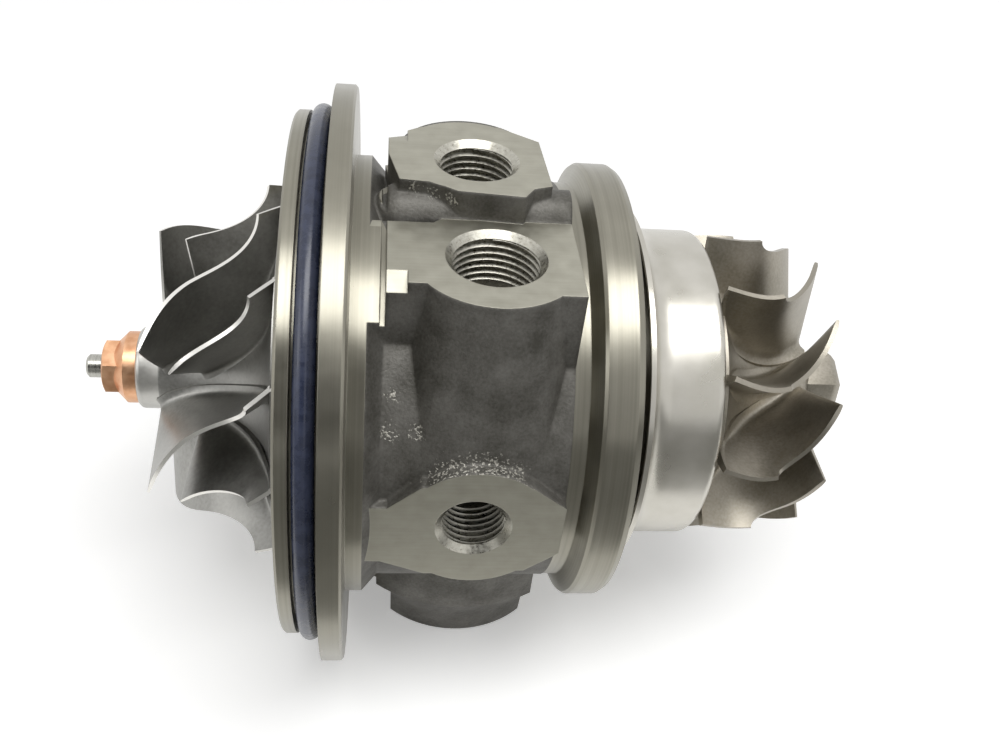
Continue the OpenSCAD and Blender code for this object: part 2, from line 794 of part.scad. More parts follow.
// The blade is thick at the hub and thins to an even edge at the rim.
comp_thin_s = 0.6;
function comp_thickness(s, v) = mix(comp_root_t, comp_tip_t, max(v, (s - comp_thin_s) / (1 - comp_thin_s)));

// A compressor blade that starts at s0, sunk a little into the hub.
module comp_blade(s0) {
    rows = round(comp_rows * (1 - s0));
    heights = [for (j = [0 : comp_cols]) mix(-root_depth, 1, j / comp_cols)];
    steps = [for (i = [0 : rows]) mix(s0, 1, i / rows)];
    blade(
        [for (s = steps) [for (v = heights) comp_point(s, v)]],
        [for (s = steps) [for (v = heights)
            comp_thickness(s, v) * (s == s0 ? 0.5 : 1)]]);
}

module compressor_wheel() {
    splitter_s = 0.222;
    pitch = 360 / comp_blades;
    nose_round = 1.2;
    steps = 12;
    color("darkgray")
    difference() {
        union() {
            turned(concat(
                [[0, comp_front], [nose_d / 2 - nose_round, comp_front],
                 [nose_d / 2, comp_front + nose_round], [nose_d / 2, comp_inlet_x - 1],
                 [hub_in_r, comp_inlet_x - 0.5]],
                [for (i = [0 : steps]) let (p = comp_hub(i / steps)) [p.y, p.x]],
                [[comp_r, comp_back], [0, comp_back]]));
            for (k = [0 : comp_blades - 1]) {
                rotate([-comp_start - k * pitch, 0, 0]) comp_blade(0);
                rotate([-comp_start - (k - 0.5) * pitch, 0, 0]) comp_blade(splitter_s);
            }
        }
        bar(comp_front - over, comp_back + over, stub_d / 2 + slip);
    }
}

// A hexagon with a turned chamfer on a round flange that slopes up from the flats.
module shaft_nut() {
    corner_r = nut_af / 2 / cos(30);
    chamfer_r = nut_af / 2 - 0.2;
    far_r = corner_r + over;
    chamfer_end = nut_end + (far_r - chamfer_r) * tan(30);
    hex_end = nut_back + 0.5;
    flange_r = nut_flange_d / 2;
    slope_x = nut_back - (flange_r - nut_af / 2);
    color("chocolate")
    difference() {
        union() {
            intersection() {
                along_x() translate([0, 0, nut_end]) rotate([0, 0, hex_turn])
                    cylinder(h = nut_h + over, r = corner_r, $fn = 6);
                turned([
                    [0, nut_end], [chamfer_r, nut_end], [far_r, chamfer_end],
                    [far_r, hex_end], [0, hex_end]
                ]);
            }
            turned([
                [0, slope_x], [nut_af / 2, slope_x], [flange_r, nut_back],
                [flange_r, comp_front], [0, comp_front]
            ]);
        }
        bar(nut_end - over, comp_front + over, thread_d / 2 + slip);
    }
}

// Turbine: gas comes in round the rim and leaves along the shaft, so the hub
// and shroud lines sweep from radial to axial.
turb_r = turb_d / 2;
turb_hub_out_r = 10.5;
turb_bend_l = 6;
function turb_hub(s) = [
    turb_exit_x - turb_blade_l * cos(90 * s),
    turb_r - (turb_r - turb_hub_out_r) * sin(90 * s)
];
turb_straight = 0.5;
function turb_shroud(s) = s < turb_straight
    ? let (t = 90 * s / turb_straight)
        [turb_inlet_x + inlet_w + turb_bend_l * (1 - cos(t)),
         turb_r - (turb_r - exducer_d / 2) * sin(t)]
    : [mix(turb_inlet_x + inlet_w + turb_bend_l, turb_exit_x, (s - turb_straight) / (1 - turb_straight)),
       exducer_d / 2];
// The blades sweep a little one way along the inlet edge, then curl the other
// way towards the outlet.
turb_sweep = 14.7;
turb_curl = 39;
function turb_turn(x) = let (t = (x - turb_inlet_x) / turb_blade_l) turb_curl * t * t * t - turb_sweep * t;
turb_start = 41;
turb_rows = 10;
turb_cols = 3;

// The root sinks into the hub, except where the blade starts level with the disc's back.
turb_sink_s = 0.3;
function turb_point(s, v) = let (
    depth = v < 0 ? v * min(1, s / turb_sink_s) : v,
    p = mix(turb_hub(s), turb_shroud(s), depth)
) on_wheel(p, turb_turn(p.x));

// The blade is thin all along its inlet edge and thickens at the hub further in.
function turb_thickness(s, v) = mix(turb_tip_t, mix(turb_root_t, turb_tip_t, v), min(1, s / 0.4));

module turb_blade() {
    heights = [for (j = [0 : turb_cols]) mix(-root_depth, 1, j / turb_cols)];
    steps = [for (i = [0 : turb_rows]) i / turb_rows];
    blade(
        [for (s = steps) [for (v = heights) turb_point(s, v)]],
        [for (s = steps) [for (v = heights)
            turb_thickness(s, v) * (s == 1 ? 0.6 : 1)]]);
}

module turbine_wheel() {
    disc_r = turb_r - 7.5;
    nose_r = turb_nose_af / 2 / cos(30);
    steps = 12;
    s0 = asin((turb_r - disc_r) / (turb_r - turb_hub_out_r)) / 90;
    nose_x = turb_exit_x + 3;
    nose_root = nose_x - 1;
    color("rosybrown")
    union() {
        turned(concat(
            [[0, turb_back], [disc_r, turb_back]],
            [for (i = [0 : steps]) let (p = turb_hub(mix(s0, 1, i / steps))) [p.y, p.x]],
            [[turb_hub_out_r, turb_exit_x + 0.5], [turb_nose_af / 2, nose_x], [0, nose_x]]));
        intersection() {
            along_x() translate([0, 0, nose_root]) rotate([0, 0, hex_turn])
                cylinder(h = turb_end - nose_root, r = nose_r, $fn = 6);
            turned([
                [0, nose_root - over], [nose_r, nose_root - over], [nose_r, turb_end - 2.5],
                [nose_r - 2.2, turb_end], [0, turb_end]
            ]);
        }
        for (k = [0 : turb_blades - 1])
            rotate([-turb_start - k * 360 / turb_blades, 0, 0]) turb_blade();
    }
}

bearing_housing();
flange_o_ring();
seal_plate();
seal_plate_o_ring();
seal_plate_snap_ring();
oil_deflector();
thrust_bearing();
thrust_bearing_pins();
compressor_seal_ring();
turbine_seal_ring();
compressor_bearing_rings();
turbine_bearing_rings();
compressor_journal_bearing();
turbine_journal_bearing();
heat_shield();
shaft();
thrust_collar();
thrust_sleeve();
compressor_wheel();
shaft_nut();
turbine_wheel();
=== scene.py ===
# %% [markdown]
# # A turbocharger cartridge
# The cartridge is the middle of a turbocharger: a cast iron bearing housing, a
# shaft, an aluminium compressor wheel on the left and a nickel alloy turbine
# wheel on the right. The imported CAD model holds every piece at its true place in
# metres, so this lesson only refines surfaces: finishes, smooth blades, screw
# threads, light and camera.

# %% Load the frame
from math import cos, exp, hypot, pi, radians, sin, sqrt

import bmesh
import bpy
from mathutils import Matrix, Vector


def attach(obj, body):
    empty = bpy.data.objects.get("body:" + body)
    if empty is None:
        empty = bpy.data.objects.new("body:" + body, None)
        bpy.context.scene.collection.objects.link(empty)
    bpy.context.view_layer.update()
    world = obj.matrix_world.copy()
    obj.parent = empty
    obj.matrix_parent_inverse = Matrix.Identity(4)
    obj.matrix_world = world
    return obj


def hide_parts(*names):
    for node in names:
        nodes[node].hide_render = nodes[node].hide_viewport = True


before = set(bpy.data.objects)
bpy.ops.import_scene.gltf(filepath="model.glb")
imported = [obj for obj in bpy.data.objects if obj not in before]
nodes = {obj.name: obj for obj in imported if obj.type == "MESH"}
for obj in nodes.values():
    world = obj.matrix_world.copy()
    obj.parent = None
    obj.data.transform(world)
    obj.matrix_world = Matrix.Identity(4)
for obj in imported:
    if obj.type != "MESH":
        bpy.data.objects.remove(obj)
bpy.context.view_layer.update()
MM = 0.001

# %% [markdown]
# ## Small helpers for finishes
# Colours are picked as sRGB hex codes, the way a paint program shows them, but
# shaders work in linear light, so one function converts them. A second function
# adds any node to any tree: settings are written to the node, plain values to its
# sockets, and sockets of other nodes become links. A third starts a material, and
# a fourth links patterns to its shader.


# %% Colour and node helpers
def linear(code):
    """A hex colour such as "#938e83" as linear red, green, blue and alpha."""
    parts = [int(code[i:i + 2], 16) / 255 for i in (1, 3, 5)]
    return [p / 12.92 if p < 0.04045 else ((p + 0.055) / 1.055) ** 2.4 for p in parts] + [1.0]


def add(tree, kind, inputs=None, **settings):
    """Adds a node, writes its settings, then fills its sockets with values or links."""
    made = tree.nodes.new(kind)
    for name, value in settings.items():
        setattr(made, name, value)
    for key, value in (inputs or {}).items():
        if isinstance(value, bpy.types.NodeSocket):
            tree.links.new(value, made.inputs[key])
        else:
            made.inputs[key].default_value = value
    return made


def finish(name, colour, **surface):
    """A new material; returns it with its tree, its shader and its coordinates in mm."""
    material = bpy.data.materials.new(name)
    material.use_nodes = True
    tree = material.node_tree
    shader = tree.nodes["Principled BSDF"]
    shader.inputs["Base Color"].default_value = linear(colour)
    for key, value in surface.items():
        shader.inputs[key.replace("_", " ")].default_value = value
    place = add(tree, "ShaderNodeTexCoord")
    mm = add(tree, "ShaderNodeVectorMath", {0: place.outputs["Object"], "Scale": 1 / MM}, operation="SCALE")
    return material, tree, shader, mm.outputs["Vector"]


def wear(tree, shader, **looks):
    """Links patterns to the shader's sockets, which are named with underscores."""
    for key, value in looks.items():
        tree.links.new(value, shader.inputs[key.replace("_", " ")])


# %% [markdown]
# The next helpers name the few patterns that every finish is made of: arithmetic, a
# change of range, a mix of colours, a noise, bumps and rounded edges. Each returns
# the socket that carries its result.


# %% Pattern helpers
def reckon(tree, operation, *values):
    """The result of one Math node."""
    return add(tree, "ShaderNodeMath", dict(enumerate(values)), operation=operation).outputs[0]


def remap(tree, value, low, high, to_low=0.0, to_high=1.0):
    """A value of low to high carried to another range and held inside it."""
    return add(tree, "ShaderNodeMapRange", {"Value": value, "From Min": low, "From Max": high,
                                            "To Min": to_low, "To Max": to_high}).outputs[0]


def mixed(tree, share, first, second):
    """A mix of two colours, given as sockets or linear values."""
    return add(tree, "ShaderNodeMix", {0: share, 6: first, 7: second}, data_type="RGBA").outputs[2]


def tint(tree, value, dark, light, low=0.3, high=0.7):
    """A colour between two hex colours, led by a grey value."""
    return mixed(tree, remap(tree, value, low, high), linear(dark), linear(light))


def spread(tree, value, low, high):
    """A grey value of 0.3 to 0.7 spread over the range low to high."""
    return remap(tree, value, 0.3, 0.7, low, high)


def noise(tree, where, size, detail, roughness=0.5):
    """A grey noise whose features have about that size."""
    return add(tree, "ShaderNodeTexNoise", {"Vector": where, "Scale": 1 / size, "Detail": detail,
                                            "Roughness": roughness}).outputs["Fac"]


def rounded(tree, radius, samples):
    """A normal that rounds edges to a radius in mm."""
    return add(tree, "ShaderNodeBevel", {"Radius": radius * MM}, samples=samples).outputs[0]


def bumps(tree, height, depth, strength, normal=None):
    """A normal with bumps of a depth in mm, on top of another normal if one is given."""
    inputs = {"Height": height, "Distance": depth * MM, "Strength": strength}
    if normal:
        inputs["Normal"] = normal
    return add(tree, "ShaderNodeBump", inputs).outputs[0]


print("helpers ready")

# %% [markdown]
# ## Turned iron
# The disc, the flange, the clamp rim and the spigot were cut on a lathe. A lathe
# tool leaves fine grooves that run round the shaft, and those grooves stretch
# every highlight across them. The grooves are a noise read along two numbers
# only, the place along the shaft and the distance from it, so they form rings on
# a flat face and bands on a round one. An anisotropic shader with a radial tangent,
# turned by a quarter, stretches the highlights across the grooves.


# %% Lathe grooves and turned iron
QUARTER_TURN = 0.25


def lathe_grooves(tree, mm, width):
    """A grey value that varies only along and across the shaft, for grooves of that width in mm."""
    split = add(tree, "ShaderNodeSeparateXYZ", {0: mm}).outputs
    flat = add(tree, "ShaderNodeCombineXYZ", {"Y": split["Y"], "Z": split["Z"]})
    radius = add(tree, "ShaderNodeVectorMath", {0: flat.outputs[0]}, operation="LENGTH")
    along = add(tree, "ShaderNodeCombineXYZ", {"X": split["X"], "Y": radius.outputs["Value"]})
    return noise(tree, along.outputs[0], width, 3.0)


def round_the_shaft(tree):
    """The tangent of a lathe's cut."""
    return add(tree, "ShaderNodeTangent", direction_type="RADIAL", axis="X").outputs[0]


# Nodular iron, finish turned: olive grey, satin, with rings that show as thin bands.
turned_iron, tree, shader, mm = finish("turned nodular iron", "#8e8b80", Metallic=1.0, Roughness=0.32,
                                       Anisotropic=0.6, Anisotropic_Rotation=QUARTER_TURN)
grooves, stain = lathe_grooves(tree, mm, 0.5), noise(tree, mm, 14, 4.0)
grain = reckon(tree, "MULTIPLY_ADD", grooves, stain, 0.25)
wear(tree, shader, Base_Color=tint(tree, grain, "#827f74", "#9a978b"),
     Roughness=spread(tree, stain, 0.27, 0.4), Tangent=round_the_shaft(tree),
     Normal=bumps(tree, grooves, 0.012, 0.6, rounded(tree, 0.3, 6)))
print("made", turned_iron.name)

# %% [markdown]
# ## Milled pads and cut threads
# The pads round the ports were faced with a milling cutter. Its teeth leave faint
# straight marks and the iron shows a little mottling where graphite tore out. The
# marks are a noise stretched along the shaft. The port walls were cut by a tap, so
# they are the same iron, only brighter and smoother.

# %% Milled iron and tapped iron
# Nodular iron, face milled: paler than the turned iron, matt, with soft mottling.
milled_iron, tree, shader, mm = finish("milled nodular iron", "#aaa89c", Metallic=1.0, Roughness=0.46)
MARK_LENGTH, MARK_WIDTH = 9, 0.5
stretched = add(tree, "ShaderNodeMapping", {
    "Vector": mm, "Scale": (1 / MARK_LENGTH, 1 / MARK_WIDTH, 1 / MARK_WIDTH)})
marks, mottle = noise(tree, stretched.outputs[0], 1, 3.0), noise(tree, mm, 3.5, 5.0)
both = reckon(tree, "MULTIPLY_ADD", mottle, 0.4, reckon(tree, "MULTIPLY_ADD", marks, 0.15, 0.43))
wear(tree, shader, Base_Color=tint(tree, both, "#959285", "#b4b2a6", 0.5, 0.9),
     Roughness=spread(tree, mottle, 0.4, 0.52),
     Normal=bumps(tree, marks, 0.01, 0.4, rounded(tree, 0.3, 6)))

# Nodular iron, tapped: bright flanks with torn specks.
tapped_iron, tree, shader, mm = finish("tapped nodular iron", "#b4b1a6", Metallic=1.0, Roughness=0.3)
torn = noise(tree, mm, 0.7, 4.0)
wear(tree, shader, Base_Color=tint(tree, torn, "#a6a398", "#c2c0b6"),
     Roughness=spread(tree, torn, 0.24, 0.4), Normal=bumps(tree, torn, 0.006, 0.4))
print("made", milled_iron.name, "and", tapped_iron.name)

# %% [markdown]
# ## Cast skin
# Between the machined faces the housing keeps the skin of its sand mould: dark
# grey-brown, rough and dull. Sand grains are about 0.6 mm, and the mould wall
# itself is a little wavy over several millimetres. Above the side pad, and in a few
# small patches, the skin is torn into a crust of bright specks. The specks are the
# peaks of a fine noise, and more of them break through where the crust is thick. A
# Bevel node rounds the edges as a mould does.

# %% Cast iron skin
# Nodular iron, sand cast and blasted: dark, grainy, with crusts of bright specks.
cast_skin, tree, shader, mm = finish("sand cast nodular iron", "#57554f", Metallic=0.5, Roughness=0.55)
sand, wave = noise(tree, mm, 0.6, 5.0, 0.6), noise(tree, mm, 7, 3.0)
tone = reckon(tree, "MULTIPLY_ADD", wave, 0.65, reckon(tree, "MULTIPLY_ADD", sand, 0.35, 0.0))
skin_colour = tint(tree, tone, "#4e4c46", "#777570", 0.35, 0.65)

# The crust above the side pad starts near the pad's height and thins out sideways.
CRUST_Y, THICK_CRUST_Y, CRUST_X, CRUST_HALF, THICK_HALF = -41.8, -43.0, 29.0, 13.5, 8.0
# The small torn patches, by place and size.
TORN = (((12.6, -36.2, 25.0), 3.0), ((12.2, -39.6, 18.9), 4.2), ((17.2, -39.6, 18.9), 4.2),
        ((15.8, -5.0, 50.3), 3.2), ((19.4, -5.5, 49.8), 3.2), ((23.0, -7.6, 49.8), 3.2))
spot = add(tree, "ShaderNodeSeparateXYZ", {0: mm}).outputs
aside = reckon(tree, "ABSOLUTE", reckon(tree, "ADD", spot["X"], -CRUST_X))
crust = reckon(tree, "MULTIPLY", remap(tree, aside, CRUST_HALF, THICK_HALF),
               remap(tree, spot["Y"], CRUST_Y, THICK_CRUST_Y))
for place, size in TORN:
    away = add(tree, "ShaderNodeVectorMath", {0: mm, 1: place}, operation="DISTANCE").outputs["Value"]
    crust = reckon(tree, "MAXIMUM", crust, remap(tree, away, size, 0.3 * size))
peak = reckon(tree, "MULTIPLY_ADD", crust, 0.4, noise(tree, mm, 0.55, 2.0))
shine = remap(tree, peak, 0.92, 1.04)
coarse = bumps(tree, wave, 0.9, 0.5, rounded(tree, 1.2, 8))
height = reckon(tree, "MULTIPLY_ADD", shine, 0.8, sand)
wear(tree, shader, Base_Color=mixed(tree, shine, skin_colour, linear("#c6c3b9")),
     Roughness=remap(tree, shine, 0.0, 1.0, 0.55, 0.3), Normal=bumps(tree, height, 0.18, 0.6, coarse))
print("made", cast_skin.name)

# %% [markdown]
# ## Dressing the housing
# The CAD mesh arrives as loose triangles. A copy is merged into one skin, so that
# smooth shading works, and every face then gets one of four finishes by where it
# lies: on a pad's plane it is milled, in a port it is tapped, on the lathe's
# surfaces it is turned, and elsewhere it is cast. The shoulder that only the
# bosses reach was cut with a jolting tool, so it is as matt as the milled pads.
# Reading this off the geometry keeps each border exactly on the CAD edge.


# %% Copies of CAD nodes
def smooth_copy(node, name):
    """A merged, smooth copy of a CAD node's mesh, as a new object at the origin."""
    mesh = nodes[node].data.copy()
    mesh.name = name
    skin = bmesh.new()
    skin.from_mesh(mesh)
    bmesh.ops.remove_doubles(skin, verts=skin.verts, dist=1e-6)
    skin.to_mesh(mesh)
    skin.free()
    if "custom_normal" in mesh.attributes:
        mesh.attributes.remove(mesh.attributes["custom_normal"])
    mesh.shade_smooth()
    mesh.set_sharp_from_angle(angle=radians(28))
    mesh.materials.clear()
    piece = bpy.data.objects.new(name, mesh)
    bpy.context.scene.collection.objects.link(piece)
    return piece


def stand_in(piece, node, body):
    """The piece takes the CAD node's place on its body."""
    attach(piece, body)
    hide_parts(node)
    print(piece.name, "stands for", node, "with", len(piece.data.polygons), "faces")


housing = smooth_copy("bearing_housing", "housing_casting")

# %% [markdown]
# The rule below works in millimetres from the shaft. The three ports and the two
# bolt holes beside the drain are given by their centre on the pad, the way they
# face, and the radius, pitch and depth of their thread, as the CAD source has them.

# %% Which finish each housing face takes
INLET = dict(name="inlet_port", at=(28.3, 4.2, 52.0), way=(0, 0, 1), radius=8.0, pitch=1.5, depth=13.0)
UPPER = dict(name="upper_port", at=(31.0, -21.1, 46.0), way=(0, 0, 1), radius=9.0, pitch=1.5, depth=13.0)
SIDE = dict(name="side_port", at=(29.0, -45.9, 0.0), way=(0, -1, 0), radius=7.0, pitch=1.5, depth=13.0)
DRAIN_X, DRAIN_R, DRAIN_Z, DRAIN_TOP_Z = 30.5, 11.0, -62.0, -30
BOLTS = [dict(name=f"drain_bolt_{i}", at=(DRAIN_X, y, DRAIN_Z), way=(0, 0, -1), radius=4.0, pitch=1.25,
              depth=14.0) for i, y in enumerate((-17.0, 17.0))]
PORTS = [INLET, UPPER, SIDE, *BOLTS]
FLANGE_END, RELIEF_START, SHOULDER_START, SHOULDER_END, NECK_START = 4.4, 9.9, 10.9, 14.7, 46.5
SPIGOT_R, SHOULDER_R, INNER_R, RELIEF_DEPTH = 47.6, 53.0, 30, 0.75
# How far a chamfer widens a port's mouth, how far a drill's tip goes past the thread,
# and how far a face may lie from the surface it belongs to.
CHAMFER, DRILL_TIP, NEAR, NEARER = 0.55, 2.1, 0.1, 0.05
CAST, TURNED, MILLED, TAPPED = range(4)


def housing_finish(middle, normal):
    """The finish of a face, from its middle in mm and its normal."""
    for port in PORTS:
        way, step = Vector(port["way"]), middle - Vector(port["at"])
        depth = -step.dot(way)
        beside = (step + depth * way).length
        if -NEAR < depth < port["depth"] + DRILL_TIP and beside < port["radius"] + CHAMFER \
                and normal.dot(way) < 0.9:
            return TAPPED
        if abs(depth) < 0.03 and normal.dot(way) > 0.99:
            return MILLED
    if hypot(middle.x - DRAIN_X, middle.y) < DRAIN_R + NEAR and middle.z < DRAIN_TOP_Z:
        return TAPPED
    r = hypot(middle.y, middle.z)
    if middle.x < FLANGE_END + NEARER or middle.x > NECK_START - NEARER or r < INNER_R:
        return TURNED
    if middle.x < RELIEF_START + NEAR and abs(r - SPIGOT_R) < NEAR:
        return TURNED
    if RELIEF_START - NEARER < middle.x < SHOULDER_START + NEARER and r > SPIGOT_R - RELIEF_DEPTH:
        return CAST if -11 < middle.y < -2 and middle.z > 0 else TURNED
    return MILLED if middle.x < SHOULDER_END + NEARER and abs(r - SHOULDER_R) < NEAR else CAST


for material in (cast_skin, turned_iron, milled_iron, tapped_iron):
    housing.data.materials.append(material)
for face in housing.data.polygons:
    face.material_index = housing_finish(face.center / MM, face.normal)
counts = [sum(f.material_index == i for f in housing.data.polygons) for i in (CAST, TURNED, MILLED, TAPPED)]
print("faces cast, turned, milled, tapped:", counts)
stand_in(housing, "bearing_housing", "housing")

# %% [markdown]
# ## Screw threads in the ports
# A thread is a ridge that follows a helix, so it is a task for Geometry Nodes: a
# spiral curve, swept with a trapezoid. A cone at the mouth, where a countersink
# cut through the first turns, is a four-sided profile swept round a circle. The
# tree has named inputs for the thread's size and is used once for each port. The
# ridges stand inward from the plain hole of the CAD model.


# %% A tree that cuts a thread
def socket(tree, name, kind, into=True, value=None):
    """A named input or output of a tree; returns the input's identifier."""
    made = tree.interface.new_socket(name, in_out="INPUT" if into else "OUTPUT", socket_type=kind)
    if value is not None:
        made.default_value = value
    return made.identifier


thread_tree = bpy.data.node_groups.new("thread ridge", "GeometryNodeTree")
thread_tree.is_modifier = True
thread_keys = {name: socket(thread_tree, name, kind, value=value) for name, kind, value in (
    ("Geometry", "NodeSocketGeometry", None), ("Radius", "NodeSocketFloat", 0.008),
    ("Pitch", "NodeSocketFloat", 0.0015), ("Turns", "NodeSocketFloat", 8.0),
    ("Mouth", "NodeSocketFloat", 1.0), ("Metal", "NodeSocketMaterial", None))}
socket(thread_tree, "Geometry", "NodeSocketGeometry", into=False)
given = add(thread_tree, "NodeGroupInput").outputs
length = reckon(thread_tree, "MULTIPLY", given["Pitch"], given["Turns"])
spiral = add(thread_tree, "GeometryNodeCurveSpiral", {
    "Resolution": 56, "Rotations": given["Turns"], "Start Radius": given["Radius"],
    "End Radius": given["Radius"], "Height": length, "Reverse": True})
upright = add(thread_tree, "GeometryNodeSetCurveNormal", {"Curve": spiral.outputs[0]}, mode="Z_UP")
# The ridge's base, crest and height are shares of the pitch, and its foot stays in the wall.
base, crest, tall = (reckon(thread_tree, "MULTIPLY", given["Pitch"], share) for share in (0.86, 0.2, 0.58))
ridge = add(thread_tree, "GeometryNodeCurvePrimitiveQuadrilateral", {
    "Bottom Width": base, "Top Width": crest, "Height": tall, "Offset": 0.0}, mode="TRAPEZOID")
inward = add(thread_tree, "ShaderNodeCombineXYZ", {"X": reckon(thread_tree, "MULTIPLY", tall, -0.44)})
turned_in = add(thread_tree, "GeometryNodeTransform", {
    "Geometry": ridge.outputs[0], "Translation": inward.outputs[0], "Rotation": (0, 0, radians(90))})
swept = add(thread_tree, "GeometryNodeCurveToMesh", {
    "Curve": upright.outputs[0], "Profile Curve": turned_in.outputs[0], "Fill Caps": True})
lowered = add(thread_tree, "GeometryNodeTransform", {
    "Geometry": swept.outputs[0], "Translation": (0, 0, 1.1 * MM)})
wide = add(thread_tree, "GeometryNodeCurvePrimitiveCircle", {"Resolution": 96, "Radius": given["Radius"]})
level = add(thread_tree, "GeometryNodeSetCurveNormal", {"Curve": wide.outputs[0]}, mode="Z_UP")
cone = add(thread_tree, "GeometryNodeCurvePrimitiveQuadrilateral", {
    "Point 1": (0.45 * MM, 0.55 * MM, 0), "Point 2": (-0.95 * MM, -0.85 * MM, 0),
    "Point 3": (0.05 * MM, -1.4 * MM, 0), "Point 4": (0.05 * MM, 0.1 * MM, 0)}, mode="POINTS")
even = add(thread_tree, "ShaderNodeCombineXYZ", dict.fromkeys("XYZ", given["Mouth"]))
sized = add(thread_tree, "GeometryNodeTransform", {"Geometry": cone.outputs[0], "Scale": even.outputs[0]})
mouth = add(thread_tree, "GeometryNodeCurveToMesh", {
    "Curve": level.outputs[0], "Profile Curve": sized.outputs[0]})
joined = add(thread_tree, "GeometryNodeJoinGeometry", {0: lowered.outputs[0]})
thread_tree.links.new(mouth.outputs[0], joined.inputs[0])
whole = add(thread_tree, "GeometryNodeRealizeInstances", {0: joined.outputs[0]})
faced = add(thread_tree, "GeometryNodeSetMaterial", {
    "Geometry": whole.outputs[0], "Material": given["Metal"]})
add(thread_tree, "NodeGroupOutput", {0: faced.outputs[0]})
print("thread tree has", len(thread_tree.nodes), "nodes")


# %% [markdown]
# A modifier only holds a recipe. The export wants plain meshes, so the helper
# below sets the inputs by their identifiers, lets Blender evaluate the recipe once
# and keeps the result as an ordinary mesh without the modifier.


# %% Turn a recipe into a mesh
def baked(name, start, recipes):
    """A plain mesh object from a start mesh and a list of (tree, keys, values) recipes."""
    maker = bpy.data.objects.new(name + "_maker", start)
    bpy.context.scene.collection.objects.link(maker)
    for tree, keys, values in recipes:
        step = maker.modifiers.new("recipe", "NODES")
        step.node_group = tree
        for key, value in values.items():
            step[keys[key]] = value
    graph = bpy.context.evaluated_depsgraph_get()
    mesh = bpy.data.meshes.new_from_object(maker.evaluated_get(graph), preserve_all_data_layers=True,
                                           depsgraph=graph)
    bpy.data.objects.remove(maker)
    mesh.name = name
    piece = bpy.data.objects.new(name, mesh)
    bpy.context.scene.collection.objects.link(piece)
    return piece


def face_outward(mesh):
    """Makes all faces of a closed mesh point out."""
    skin = bmesh.new()
    skin.from_mesh(mesh)
    bmesh.ops.recalc_face_normals(skin, faces=skin.faces)
    skin.to_mesh(mesh)
    skin.free()


# A thread starts below its pad and ends above the hole's bottom. Bolt holes have small mouths.
RUN_OUT, PORT_MOUTH, BOLT_MOUTH, INSET = 3.2, 0.82, 0.3, 0.6
for port in PORTS:
    turns = (port["depth"] - RUN_OUT) / port["pitch"]
    piece = baked(port["name"] + "_thread", bpy.data.meshes.new("empty"), [(thread_tree, thread_keys, {
        "Radius": port["radius"] * MM, "Pitch": port["pitch"] * MM, "Turns": turns,
        "Mouth": BOLT_MOUTH if port in BOLTS else PORT_MOUTH, "Metal": tapped_iron})])
    down = Vector(port["way"]) * -1
    turn = Vector((0, 0, 1)).rotation_difference(down).to_matrix().to_4x4()
    start = Vector(port["at"]) + down * INSET
    piece.data.transform(Matrix.Translation(start * MM) @ turn)
    face_outward(piece.data)
    piece.data.shade_smooth()
    piece.data.set_sharp_from_angle(angle=radians(35))
    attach(piece, "housing")
    print(piece.name, len(piece.data.polygons), "faces")

# %% [markdown]
# ## Rubber, sheet, copper and steel
# The remaining finishes are simpler. The cover seal is a moulded rubber cord, dark
# blue and satin, with dust that dulls it in patches. The heat shield is spun from
# bright stainless sheet. The nut is steel with a thin copper plating that has gone
# a little brown in places. The shaft is ground. The inner pieces are hidden, yet
# each has its own metal, so that a cut-away view would read.

# %% Rubber and sheet
# Fluorocarbon rubber, moulded: navy, satin, with faint dust.
navy_rubber, tree, shader, mm = finish("moulded navy rubber", "#2b3147", Roughness=0.3,
                                       Specular_IOR_Level=0.6)
dust = noise(tree, mm, 2.5, 6.0, 0.6)
wear(tree, shader, Base_Color=tint(tree, dust, "#22283c", "#373e55"),
     Roughness=spread(tree, dust, 0.2, 0.36), Normal=bumps(tree, dust, 0.02, 0.5))

# Stainless steel sheet, spun: bright satin with fine rings from the forming tool.
spun_stainless, tree, shader, mm = finish("spun stainless sheet", "#c2bfb6", Metallic=1.0, Roughness=0.3,
                                          Anisotropic=0.5, Anisotropic_Rotation=QUARTER_TURN)
rings, cloud = lathe_grooves(tree, mm, 0.7), noise(tree, mm, 9, 4.0)
wear(tree, shader, Base_Color=tint(tree, cloud, "#b8b5ab", "#ccc9c1"),
     Roughness=spread(tree, cloud, 0.25, 0.36), Tangent=round_the_shaft(tree),
     Normal=bumps(tree, rings, 0.006, 0.4))
print("made", navy_rubber.name, "and", spun_stainless.name)


# %% [markdown]
# Plain metals differ in colour, roughness and how they were worked, so one helper
# makes them: a colour pair, a roughness, and either lathe grooves or a soft cloud.


# %% Plain metals
def plain_metal(name, dark, light, rough, groove=None, cloud=4.0):
    """A metal with grooves of a width in mm, or clouds of that size in mm."""
    material, tree, shader, mm = finish(name, light, Metallic=1.0, Roughness=rough)
    pattern = lathe_grooves(tree, mm, groove) if groove else noise(tree, mm, cloud, 5.0)
    wear(tree, shader, Base_Color=tint(tree, pattern, dark, light),
         Roughness=spread(tree, pattern, rough - 0.06, rough + 0.06),
         Normal=bumps(tree, pattern, 0.01, 0.5, rounded(tree, 0.15, 4)))
    return material


# Copper plating over steel: warm, bright, browned in patches.
copper_plate = plain_metal("copper plated steel", "#d09a74", "#ebbd98", 0.34, cloud=2.2)
# Alloy steel, ground between wheels: bright with fine rings.
ground_steel = plain_metal("ground alloy steel", "#9c9b95", "#bdbcb5", 0.26, groove=0.2)
# Leaded bronze, turned: warm gold-brown.
turned_bronze = plain_metal("turned bearing bronze", "#8f6a35", "#b88d4c", 0.3, groove=0.25)
# Spring steel, oil blackened: dark and smooth.
spring_steel = plain_metal("oiled spring steel", "#3d3d3f", "#565658", 0.38)
